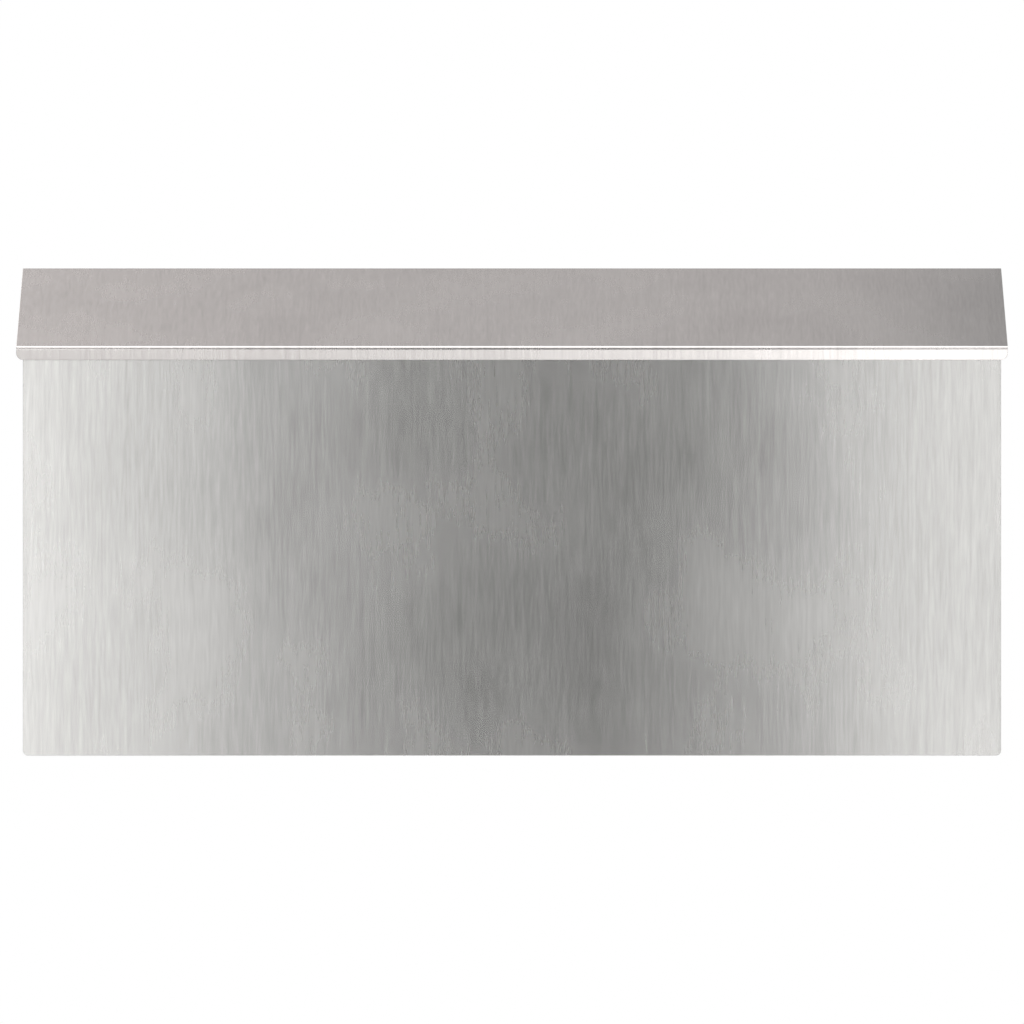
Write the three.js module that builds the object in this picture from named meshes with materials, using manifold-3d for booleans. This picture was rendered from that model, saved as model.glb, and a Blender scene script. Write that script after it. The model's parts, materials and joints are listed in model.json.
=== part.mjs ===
// A wall mounted mailbox folded from stainless steel sheet.
// Five panels, lapped and spot welded, make an open-topped box with a flat front. A sloping lid with
// a short front lip swings on a full-length piano hinge that is riveted to a ledge on the back panel.
//
// Frame: +X to the right of someone facing the mailbox, +Y into the wall, +Z up, in millimetres.
// The origin is the middle of the back panel's rear face, which lies flat on the wall.
import * as THREE from "three";
import { mergeVertices } from "three/addons/utils/BufferGeometryUtils.js";
import Module from "manifold-3d";

const wasm = await Module();
wasm.setup();

// ---- Driving dimensions ----
const SHEET = 0.8; // thickness of every panel and of the hinge leaves
const BEND_INSIDE = 1.2; // inside radius of a fold
const LID_BEND_INSIDE = 0.5; // the lid's fold is pressed tighter
const LAP = 0.1; // air between two sheets that lie on each other
const BODY_WIDTH = 375;
const BODY_DEPTH = 108; // wall to the outer face of the front panel
const TOTAL_HEIGHT = 188; // lower edge to the lid's rear edge
const CORNER_RADIUS = 2; // lower corners of the front and back panels

const LID_WIDTH = 380;
const LID_OVERHANG = 3.5; // how far the lid's fold stands in front of the body
const LID_RISE = 31.3; // height from the lid's fold to its rear edge
const LID_WALL_GAP = 3; // wall to the lid's rear edge
const LIP_LENGTH = 5.3; // the lid's front lip, from the fold
const LIP_CORNER_RADIUS = 2.6;

const BARREL_RADIUS = 2; // hinge knuckles, outside
const PIN_RADIUS = 1.1;
const LEAF_WIDTH = 14; // hinge axis to the edge of a leaf
const LEAF_NOTCH = 2.3; // hinge axis to a leaf's edge between its own knuckles
const KNUCKLES = 14; // taken in turn by the two leaves
const KNUCKLE_PITCH = 25;
const KNUCKLE_GAP = 0.4;
const CURL = THREE.MathUtils.degToRad(295); // how far a leaf is rolled round the pin
const PIN_PROUD = 1; // how far the pin stands out of the last knuckle
const LID_TAIL = 1.2; // how far the lid reaches behind the hinge axis

const LEDGE_DEPTH = 20; // the back panel's sloping ledge under the hinge
const LEDGE_RETURN = 5.5;
const FLANGE_DEPTH = 10; // the front panel's top flange under the lid
const FLANGE_RETURN = 6;
const FLANGE_TO_LID = 1.7; // air between that flange and the lid
const SIDE_TO_LID = 1.2; // air between a side panel's top edge and the lid
const SIDE_FLANGE = 11; // front and rear flanges of a side panel
const SIDE_FOOT = 12; // bottom flange of a side panel
const FLOOR_FLANGE = 10; // upturned edges of the bottom panel
const SLIDE_IN = 0.3; // air between a folded edge and the side panel beside it

const SCREW_HOLE_RADIUS = 3.25;
const SCREW_HOLE_X = 141;
const SCREW_HOLE_HEIGHTS = [-60, 40];
const DRAIN_RADIUS = 2.5;
const DRAIN_PLACES = [-120, 0, 120];

const RIVETS = 7;
const RIVET_PITCH = 50;
const RIVET_PLACE = 8.5; // hinge axis to the rivets' line
const RIVET_RADIUS = 1.6;
const RIVET_HOLE_RADIUS = 1.8;
const BUMPERS = 4;
const BUMPER_PITCH = 105;
const BUMPER_RADIUS = 4;

const ARC_STEP = THREE.MathUtils.degToRad(18); // one facet of a fold
const ROUND_SIDES = 16; // facets of a hole, rivet or bumper
const REACH = 500; // longer than any piece, for cutting tools

// ---- Places worked out from them ----
const TOP = TOTAL_HEIGHT / 2;
const BOTTOM = -TOTAL_HEIGHT / 2;
const HALF_BODY = BODY_WIDTH / 2;
const BEND_OUTSIDE = BEND_INSIDE + SHEET;
const RELIEF = BEND_OUTSIDE + LAP; // corner notch that lets two folds meet
const INSIDE_FRONT = -BODY_DEPTH + SHEET + LAP; // where the front flanges begin, behind the panel
const INSIDE_BACK = -SHEET - LAP; // the same at the back panel

// Side view (Y, Z): the lid runs straight from its rear edge to its front fold.
const lidRear = new THREE.Vector2(-LID_WALL_GAP, TOP);
const lidFold = new THREE.Vector2(-BODY_DEPTH - LID_OVERHANG, TOP - LID_RISE);
const downSlope = lidFold.clone().sub(lidRear).normalize();
const offSlope = new THREE.Vector2(downSlope.y, -downSlope.x);
const SLOPE_TURN = Math.atan2(offSlope.y, offSlope.x); // turns +Y to point off the slope

// Levels above the hinge axis, square to the lid.
const LID_UNDER = BARREL_RADIUS + LAP;
const LID_OUTER = LID_UNDER + SHEET;
const LEDGE_TOP = -BARREL_RADIUS - LAP;
const FLANGE_TOP = LID_UNDER - FLANGE_TO_LID;
const SIDE_TOP = LID_UNDER - SIDE_TO_LID;
const hingeAxis = lidRear
  .clone()
  .addScaledVector(downSlope, LID_TAIL)
  .addScaledVector(offSlope, -LID_OUTER);

// A point in the side view, `along` down the slope from the hinge axis and `above` it.
function slopePoint(along, above) {
  return hingeAxis.clone().addScaledVector(downSlope, along).addScaledVector(offSlope, above);
}

// The point at depth `y` on the slope that lies `above` the hinge axis.
function slopePointAtDepth(y, above) {
  const start = slopePoint(0, above);
  return start.addScaledVector(downSlope, (y - start.x) / downSlope.x);
}

// ---- Outlines ----
const leftOf = (direction) => new THREE.Vector2(-direction.y, direction.x);

// The arc that rounds a corner: its points, each with the direction of travel there.
function cornerArc(before, corner, after, radius) {
  const into = corner.clone().sub(before).normalize();
  const out = after.clone().sub(corner).normalize();
  const turn = Math.atan2(into.cross(out), into.dot(out));
  const start = corner.clone().addScaledVector(into, -radius * Math.tan(Math.abs(turn) / 2));
  const centre = start.clone().addScaledVector(leftOf(into), Math.sign(turn) * radius);
  const steps = Math.ceil(Math.abs(turn) / ARC_STEP);
  return Array.from({ length: steps + 1 }, (_, i) => {
    const angle = (turn * i) / steps;
    return {
      point: start.clone().rotateAround(centre, angle),
      heading: into.clone().rotateAround(new THREE.Vector2(), angle),
    };
  });
}

// A closed outline through `corners`, where a corner may carry a radius.
function outline(corners) {
  return corners.flatMap(([u, v, radius], i) => {
    const corner = new THREE.Vector2(u, v);
    if (!radius) return [corner];
    const [beforeU, beforeV] = corners.at(i - 1);
    const [afterU, afterV] = corners[(i + 1) % corners.length];
    const before = new THREE.Vector2(beforeU, beforeV);
    const after = new THREE.Vector2(afterU, afterV);
    return cornerArc(before, corner, after, radius).map(({ point }) => point);
  });
}

// The section of a folded sheet. One face follows `line`, which turns left at every fold, and the
// sheet lies to the left of it, inside the folds.
function foldedSheet(line, insideRadius = BEND_INSIDE) {
  const last = line.length - 1;
  const stations = line.flatMap((corner, i) => {
    if (i > 0 && i < last) {
      return cornerArc(line[i - 1], corner, line[i + 1], insideRadius + SHEET);
    }
    const [from, to] = i === 0 ? [line[0], line[1]] : [line[last - 1], line[last]];
    return [{ point: corner, heading: to.clone().sub(from).normalize() }];
  });
  const face = stations.map(({ point }) => point);
  const otherFace = stations.map(({ point, heading }) =>
    point.clone().addScaledVector(leftOf(heading), SHEET),
  );
  return [...face, ...otherFace.reverse()];
}

// ---- Solids ----
const X = new THREE.Vector3(1, 0, 0);
const Y = new THREE.Vector3(0, 1, 0);
const Z = new THREE.Vector3(0, 0, 1);
// The plane an outline is drawn in, for each axis it can be carried along.
const DRAWN_IN = {
  x: new THREE.Matrix4().makeBasis(Y, Z, X), // outline in (Y, Z)
  y: new THREE.Matrix4().makeBasis(Z, X, Y), // outline in (Z, X)
  z: new THREE.Matrix4(), // outline in (X, Y)
};

// A closed geometry as a solid that can be cut and joined.
function solid(geometry) {
  const bare = geometry.clone();
  bare.deleteAttribute("normal");
  bare.deleteAttribute("uv");
  const merged = mergeVertices(bare, 1e-3);
  return new wasm.Manifold(
    new wasm.Mesh({
      numProp: 3,
      vertProperties: merged.attributes.position.array,
      triVerts: new Uint32Array(merged.index.array),
    }),
  );
}

function extruded(points, axis, from, to) {
  const settings = { depth: to - from, bevelEnabled: false };
  const geometry = new THREE.ExtrudeGeometry(new THREE.Shape(points), settings);
  geometry.translate(0, 0, from);
  return solid(geometry.applyMatrix4(DRAWN_IN[axis]));
}

function block([x0, x1], [y0, y1], [z0, z1]) {
  const geometry = new THREE.BoxGeometry(x1 - x0, y1 - y0, z1 - z0);
  return solid(geometry.translate((x0 + x1) / 2, (y0 + y1) / 2, (z0 + z1) / 2));
}

// A long round cutter through (x, y, z). Its axis is +Y turned about X by `turn`.
function drill(radius, x, y, z, turn = 0) {
  const geometry = new THREE.CylinderGeometry(radius, radius, SHEET * 10, ROUND_SIDES);
  return solid(geometry.rotateX(turn).translate(x, y, z));
}

const cutFrom = (body, cutters) => cutters.reduce((left, cutter) => left.subtract(cutter), body);
// Places of `count` pieces at an even pitch, centred on the mailbox.
const evenly = (count, pitch) =>
  Array.from({ length: count }, (_, i) => (i - (count - 1) / 2) * pitch);

// ---- Finishes ----
const FINISHES = {
  sheet: { color: 0xb4b2ad, roughness: 0.34, metalness: 1 }, // brushed stainless steel
  lidSheet: { color: 0xada8a6, roughness: 0.36, metalness: 1 },
  hinge: { color: 0xa9a8a4, roughness: 0.4, metalness: 1 },
  pin: { color: 0xc4c4c2, roughness: 0.22, metalness: 1 },
  rivet: { color: 0xbdbcb8, roughness: 0.3, metalness: 1 },
  bumper: { color: 0xdfe4e6, roughness: 0.25, metalness: 0 }, // clear soft plastic
};

// The lid group turns about the hinge axis. The housing group stays on the wall.
const mailbox = new THREE.Group();
const housing = new THREE.Group();
const lid = new THREE.Group();
lid.position.set(0, hingeAxis.x, hingeAxis.y);
mailbox.add(housing, lid);

function addMesh(group, name, geometry, finish) {
  const mesh = new THREE.Mesh(geometry, new THREE.MeshStandardMaterial(FINISHES[finish]));
  mesh.name = name;
  group.add(mesh);
  return mesh;
}

// Adds a solid that was worked out in the mailbox's frame.
function addSolid(group, name, body, finish) {
  const { numProp, vertProperties, triVerts } = body.getMesh();
  const geometry = new THREE.BufferGeometry();
  geometry.setAttribute("position", new THREE.BufferAttribute(vertProperties, numProp));
  geometry.setIndex(new THREE.BufferAttribute(triVerts, 1));
  geometry.translate(-group.position.x, -group.position.y, -group.position.z);
  geometry.computeVertexNormals();
  addMesh(group, name, geometry, finish);
}

// ---- Front and back panels ----
const FRONT_FLANGE_END = lidFold.y - LIP_LENGTH; // the side panels' front flanges end here
const BACK_FLANGE_END = hingeAxis.y - BEND_OUTSIDE - 3;
const NOTCH_ABOVE = 0.6; // from there up to where a panel narrows to fit between the sides

// Trims a folded front or back panel, whose plate lies between the depths `plate`. The plate is
// full width up to the notch, and all that is folded into the box fits between the sides.
function trimPanel(sheet, plate, flangeEnd) {
  const notch = flangeEnd + NOTCH_ABOVE;
  const narrow = HALF_BODY - SHEET - SLIDE_IN;
  const face = outline([
    [BOTTOM, -HALF_BODY, CORNER_RADIUS],
    [BOTTOM, HALF_BODY, CORNER_RADIUS],
    [notch, HALF_BODY],
    [notch, -HALF_BODY],
  ]);
  const wide = extruded(face, "y", ...plate);
  const folded = block([-narrow, narrow], [-REACH, REACH], [BOTTOM + CORNER_RADIUS, TOP]);
  return sheet.intersect(wide.add(folded));
}

function frontPanel() {
  const topFold = slopePointAtDepth(-BODY_DEPTH, FLANGE_TOP);
  const flangeEdge = topFold.clone().addScaledVector(downSlope, -FLANGE_DEPTH);
  const returnEdge = flangeEdge.clone().addScaledVector(offSlope, -FLANGE_RETURN);
  const lowerEdge = new THREE.Vector2(-BODY_DEPTH, BOTTOM);
  const section = foldedSheet([returnEdge, flangeEdge, topFold, lowerEdge]);
  const sheet = extruded(section, "x", -HALF_BODY, HALF_BODY);
  return trimPanel(sheet, [-BODY_DEPTH, INSIDE_FRONT], FRONT_FLANGE_END);
}

const rivetPlaces = evenly(RIVETS, RIVET_PITCH);
const rivetLine = slopePoint(RIVET_PLACE, LEDGE_TOP + LAP / 2);
const rivetHoles = () =>
  rivetPlaces.map((x) => drill(RIVET_HOLE_RADIUS, x, rivetLine.x, rivetLine.y, SLOPE_TURN));

function backPanel() {
  const lowerEdge = new THREE.Vector2(0, BOTTOM);
  const topFold = slopePointAtDepth(0, LEDGE_TOP);
  const ledgeEdge = topFold.clone().addScaledVector(downSlope, LEDGE_DEPTH);
  const returnEdge = ledgeEdge.clone().addScaledVector(offSlope, -LEDGE_RETURN);
  const section = foldedSheet([lowerEdge, topFold, ledgeEdge, returnEdge]);
  const sheet = extruded(section, "x", -HALF_BODY, HALF_BODY);
  const screwHoles = SCREW_HOLE_HEIGHTS.flatMap((z) =>
    [-SCREW_HOLE_X, SCREW_HOLE_X].map((x) => drill(SCREW_HOLE_RADIUS, x, 0, z)),
  );
  const trimmed = trimPanel(sheet, [INSIDE_BACK, 0], BACK_FLANGE_END);
  return cutFrom(trimmed, [...screwHoles, ...rivetHoles()]);
}

// ---- Side panels ----
// A side panel is a plate with three inward flanges. `side` is +1 on the right and -1 on the left.
function sidePanel(side) {
  const mirrored = (points, key) => points.map((p) => p.setComponent(key, side * p.getComponent(key)));
  const at = (u, v) => new THREE.Vector2(u, v);
  const wrap = foldedSheet([
    at(HALF_BODY - SIDE_FLANGE, INSIDE_FRONT),
    at(HALF_BODY, INSIDE_FRONT),
    at(HALF_BODY, INSIDE_BACK),
    at(HALF_BODY - SIDE_FLANGE, INSIDE_BACK),
  ]);
  const foot = foldedSheet([
    at(TOP, HALF_BODY),
    at(BOTTOM, HALF_BODY),
    at(BOTTOM, HALF_BODY - SIDE_FOOT),
  ]);
  const frontEdge = INSIDE_FRONT + RELIEF;
  const backEdge = INSIDE_BACK - RELIEF;
  const footEdge = BOTTOM + RELIEF;
  const topBack = slopePointAtDepth(backEdge, SIDE_TOP);
  const topFront = slopePointAtDepth(frontEdge, SIDE_TOP);
  const face = outline([
    [frontEdge, BOTTOM],
    [backEdge, BOTTOM],
    [backEdge, footEdge],
    [INSIDE_BACK, footEdge],
    [INSIDE_BACK, BACK_FLANGE_END],
    [backEdge, BACK_FLANGE_END],
    [topBack.x, topBack.y],
    [topFront.x, topFront.y],
    [frontEdge, FRONT_FLANGE_END],
    [INSIDE_FRONT, FRONT_FLANGE_END],
    [INSIDE_FRONT, footEdge],
    [frontEdge, footEdge],
  ]);
  return extruded(mirrored(wrap, 0), "z", BOTTOM, TOP)
    .add(extruded(mirrored(foot, 1), "y", INSIDE_FRONT, INSIDE_BACK))
    .intersect(extruded(face, "x", -REACH, REACH));
}

// ---- Bottom panel ----
// A tray that rests on the side panels' feet, with its front and rear edges turned up between them.
function bottomPanel() {
  const underside = BOTTOM + SHEET + LAP;
  const section = foldedSheet([
    new THREE.Vector2(INSIDE_FRONT, underside + FLOOR_FLANGE),
    new THREE.Vector2(INSIDE_FRONT, underside),
    new THREE.Vector2(INSIDE_BACK, underside),
    new THREE.Vector2(INSIDE_BACK, underside + FLOOR_FLANGE),
  ]);
  const halfFloor = HALF_BODY - BEND_OUTSIDE - SLIDE_IN;
  const halfFlange = HALF_BODY - SIDE_FLANGE - BEND_INSIDE;
  const corners = [-1, 1].flatMap((side) => {
    const across = [side * halfFlange, side * REACH].sort((a, b) => a - b);
    return [
      block(across, [-REACH, INSIDE_FRONT + RELIEF], [BOTTOM, TOP]),
      block(across, [INSIDE_BACK - RELIEF, REACH], [BOTTOM, TOP]),
    ];
  });
  const drains = DRAIN_PLACES.map((x) =>
    drill(DRAIN_RADIUS, x, -BODY_DEPTH / 2, underside, Math.PI / 2),
  );
  return cutFrom(extruded(section, "x", -halfFloor, halfFloor), [...corners, ...drains]);
}

// ---- Lid ----
function lidPanel() {
  const lipEdge = lidFold.clone().addScaledVector(offSlope, -LIP_LENGTH);
  const section = foldedSheet([lidRear, lidFold, lipEdge], LID_BEND_INSIDE);
  const halfLid = LID_WIDTH / 2;
  const face = outline([
    [lipEdge.y, -halfLid, LIP_CORNER_RADIUS],
    [lipEdge.y, halfLid, LIP_CORNER_RADIUS],
    [TOP + SHEET, halfLid],
    [TOP + SHEET, -halfLid],
  ]);
  return extruded(section, "x", -halfLid, halfLid).intersect(
    extruded(face, "y", -REACH, REACH),
  );
}

// ---- Piano hinge ----
const knucklePlaces = evenly(KNUCKLES, KNUCKLE_PITCH);
const HALF_HINGE = (KNUCKLES * KNUCKLE_PITCH - KNUCKLE_GAP) / 2;

// A leaf: a strip beside the axis whose knuckles are rolled round the pin from the same sheet.
// `side` is +1 for the leaf above the axis and -1 for the one below it, which has the knuckles
// whose number is even.
function hingeLeaf(side) {
  const barrelBore = BARREL_RADIUS - SHEET;
  const steps = Math.ceil(CURL / ARC_STEP);
  const curl = (radius) =>
    Array.from({ length: steps + 1 }, (_, i) => {
      const angle = Math.PI / 2 + (CURL * i) / steps;
      return slopePoint(radius * Math.cos(angle), side * radius * Math.sin(angle));
    });
  const section = [
    slopePoint(LEAF_WIDTH, side * BARREL_RADIUS),
    ...curl(BARREL_RADIUS),
    ...curl(barrelBore).reverse(),
    slopePoint(LEAF_WIDTH, side * barrelBore),
  ];
  const otherKnuckle = (x) => {
    const half = (KNUCKLE_PITCH + KNUCKLE_GAP) / 2;
    const clear = [
      slopePoint(-LEAF_NOTCH, -LEAF_NOTCH),
      slopePoint(LEAF_NOTCH, -LEAF_NOTCH),
      slopePoint(LEAF_NOTCH, LEAF_NOTCH),
      slopePoint(-LEAF_NOTCH, LEAF_NOTCH),
    ];
    return extruded(clear, "x", x - half, x + half);
  };
  const others = knucklePlaces.filter((_, i) => (i % 2 === 0) === side > 0);
  return cutFrom(extruded(section, "x", -HALF_HINGE, HALF_HINGE), others.map(otherKnuckle));
}

function addPin(group) {
  const length = 2 * (HALF_HINGE + PIN_PROUD);
  const geometry = new THREE.CylinderGeometry(PIN_RADIUS, PIN_RADIUS, length, ROUND_SIDES);
  const pin = addMesh(group, "hinge_pin", geometry, "pin");
  pin.rotation.z = Math.PI / 2;
  pin.position.set(0, hingeAxis.x, hingeAxis.y);
}

// ---- Rivets and bumpers ----
const turned = (points) =>
  new THREE.LatheGeometry(
    points.map(([r, h]) => new THREE.Vector2(r, h)),
    ROUND_SIDES,
  );

// A quarter of a low dome, from its rim at height `base` up to its crown on the axis.
const dome = (radius, base, height, steps) =>
  Array.from({ length: steps + 1 }, (_, i) => {
    const angle = (Math.PI / 2) * (i / steps);
    return [i === steps ? 0 : radius * Math.cos(angle), base + height * Math.sin(angle)];
  });

// A blind rivet set through the hinge leaf and the ledge, its height counted from between them.
function rivetGeometry() {
  const headRadius = 3;
  const headHeight = 0.9;
  const tailRadius = 2.3;
  const tailLength = 1.5;
  const underHead = SHEET + LAP * 1.5;
  const overTail = -underHead;
  const tailEnd = overTail - tailLength;
  const tailChamfer = 0.5;
  return turned([
    [0, tailEnd],
    [tailRadius - tailChamfer, tailEnd],
    [tailRadius, tailEnd + tailChamfer],
    [tailRadius, overTail],
    [RIVET_RADIUS, overTail],
    [RIVET_RADIUS, underHead],
    [headRadius, underHead],
    ...dome(headRadius, underHead, headHeight, 4),
  ]);
}

function addRivets(group) {
  rivetPlaces.forEach((x, i) => {
    const rivet = addMesh(group, `hinge_rivet_${i + 1}`, rivetGeometry(), "rivet");
    rivet.rotation.x = SLOPE_TURN;
    rivet.position.set(x, rivetLine.x, rivetLine.y);
  });
}

// Soft stick-on domes on the front flange, which the shut lid rests on.
function addBumpers(group) {
  const height = FLANGE_TO_LID - 2 * LAP;
  const rim = height / 3;
  const topFold = slopePointAtDepth(-BODY_DEPTH, FLANGE_TOP + LAP);
  const place = topFold.addScaledVector(downSlope, -FLANGE_DEPTH / 2);
  evenly(BUMPERS, BUMPER_PITCH).forEach((x, i) => {
    const profile = [[0, 0], [BUMPER_RADIUS, 0], ...dome(BUMPER_RADIUS, rim, height - rim, 4)];
    const bumper = addMesh(group, `lid_bumper_${i + 1}`, turned(profile), "bumper");
    bumper.rotation.x = SLOPE_TURN;
    bumper.position.set(x, place.x, place.y);
  });
}

// ---- Assembly ----
addSolid(housing, "back_panel", backPanel(), "sheet");
addSolid(housing, "left_side_panel", sidePanel(-1), "sheet");
addSolid(housing, "right_side_panel", sidePanel(1), "sheet");
addSolid(housing, "bottom_panel", bottomPanel(), "sheet");
addSolid(housing, "front_panel", frontPanel(), "sheet");
addSolid(housing, "hinge_fixed_leaf", cutFrom(hingeLeaf(-1), rivetHoles()), "hinge");
addPin(housing);
addRivets(housing);
addBumpers(housing);
addSolid(lid, "hinge_lid_leaf", hingeLeaf(1), "hinge");
addSolid(lid, "lid_panel", lidPanel(), "lidSheet");

export default mailbox;
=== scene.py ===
"""Builds and dresses a wall mounted stainless steel mailbox around its CAD frame.

Every sheet part is worked out the way the real one is made: a flat blank is punched, its edges are
broken, it is spot welded, and it is folded along straight lines. Lengths are in millimetres until a
mesh is filled. The frame is the CAD model's: +X to the right, +Y into the wall, +Z up.
"""

import json
import logging
import math
from collections.abc import Sequence
from dataclasses import dataclass, field
from enum import Enum
from typing import Any, Protocol

import bpy
import numpy as np
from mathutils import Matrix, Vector
from mathutils.geometry import delaunay_2d_cdt


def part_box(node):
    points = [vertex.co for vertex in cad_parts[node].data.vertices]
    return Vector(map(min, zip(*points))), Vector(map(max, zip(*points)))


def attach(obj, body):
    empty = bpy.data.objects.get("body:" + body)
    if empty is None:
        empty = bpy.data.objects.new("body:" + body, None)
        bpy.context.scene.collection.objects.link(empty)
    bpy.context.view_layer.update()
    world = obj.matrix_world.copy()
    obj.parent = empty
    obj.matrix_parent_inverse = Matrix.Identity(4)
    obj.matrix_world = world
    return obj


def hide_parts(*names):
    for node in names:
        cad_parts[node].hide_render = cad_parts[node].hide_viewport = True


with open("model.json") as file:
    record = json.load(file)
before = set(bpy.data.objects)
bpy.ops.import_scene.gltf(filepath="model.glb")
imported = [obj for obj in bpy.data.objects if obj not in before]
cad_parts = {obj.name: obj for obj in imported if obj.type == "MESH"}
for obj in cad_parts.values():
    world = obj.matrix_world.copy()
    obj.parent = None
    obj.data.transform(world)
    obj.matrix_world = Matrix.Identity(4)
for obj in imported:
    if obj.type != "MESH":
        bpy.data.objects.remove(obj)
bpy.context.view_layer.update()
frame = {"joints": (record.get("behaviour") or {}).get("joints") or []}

LOG = logging.getLogger("mailbox")
MM = 0.001  # one millimetre in Blender's metres
ROW_TURN = math.radians(6)  # turn between two rows of a bend or points of a round corner
OUTLINE_CREASE = math.radians(37)  # an outline that turns by more has a sharp corner
TURNED_CREASE = math.radians(50)  # and so has the profile of a turned piece
LATTICE = 15.0  # spacing of the points that fill a flat, mm
CLEARANCE = 0.8  # least distance from an outline to a point that fills a flat, mm
OVERRUN = 5.0  # how far a bend row starts outside the blank, mm
WELD_RINGS = (0.25, 0.5, 0.75, 1, 1.35, 1.8)  # rings of points round a weld, in weld radii
WELD_RING_POINTS = 14
SAME_POINT = 1e-5  # points nearer than this are one, mm
DIFFERENCE = 1e-4  # step of the central differences, mm
FLAT_MAP = "sheet"  # the UV map that holds a sheet's flat places
CUT_EDGE = "cut_edge"  # the face attribute that is 1 on sheared edges
HEAT = "heat"  # the point attribute that says how far a weld has tinted the steel
ROSY = "#fff6f4"  # the faintly pink light that the lid mirrors
BATCH_SHIFT = (0.613, 0.287)  # how far the grain moves from one stock sheet to the next, m
Colour = tuple[float, float, float, float]


class Body(Enum):
    """The two bodies that pieces ride on."""

    HOUSING = "housing"
    LID = "lid"


class Slot(Enum):
    """The record's material slots."""

    SHEET = "brushed_stainless"
    LID_SHEET = "lid_stainless"
    HINGE = "hinge_stainless"
    PIN = "pin_stainless"
    RIVET = "rivet_stainless"
    BUMPER = "clear_bumper"


class Grain(Enum):
    """Which flat coordinate the grain of a sheet follows."""

    ALONG_U = 0
    ALONG_V = 1


class Face(Enum):
    """A face of a folded sheet, by the side of its section line that it lies on."""

    RIGHT = 1.0
    LEFT = -1.0


# ---- Shader tools ----
def linear(code: str) -> Colour:
    """Turns an sRGB colour into linear light.

    Args:
        code: the colour in hex, such as "#c9c7c3".

    Returns:
        Its red, green and blue, and an alpha of 1.
    """
    srgb = np.array([int(code[i : i + 2], 16) for i in (1, 3, 5)]) / 255
    rgb = np.where(srgb <= 0.04045, srgb / 12.92, ((srgb + 0.055) / 1.055) ** 2.4)
    return (*rgb.tolist(), 1.0)


def add_node(
    tree: bpy.types.NodeTree, kind: str, inputs: dict[Any, Any] | None = None, **settings: Any
) -> bpy.types.Node:
    """Adds a node with its settings and links.

    Args:
        tree: the node tree it goes in.
        kind: the node's type name, without "ShaderNode".
        inputs: what each input holds, a value or the output socket that feeds it.
        settings: the node's own properties.

    Returns:
        The new node.
    """
    node = tree.nodes.new("ShaderNode" + kind)
    for name, value in settings.items():
        setattr(node, name, value)
    for key, value in (inputs or {}).items():
        if isinstance(value, bpy.types.NodeSocket):
            tree.links.new(value, node.inputs[key])
        else:
            node.inputs[key].default_value = value
    return node


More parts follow.
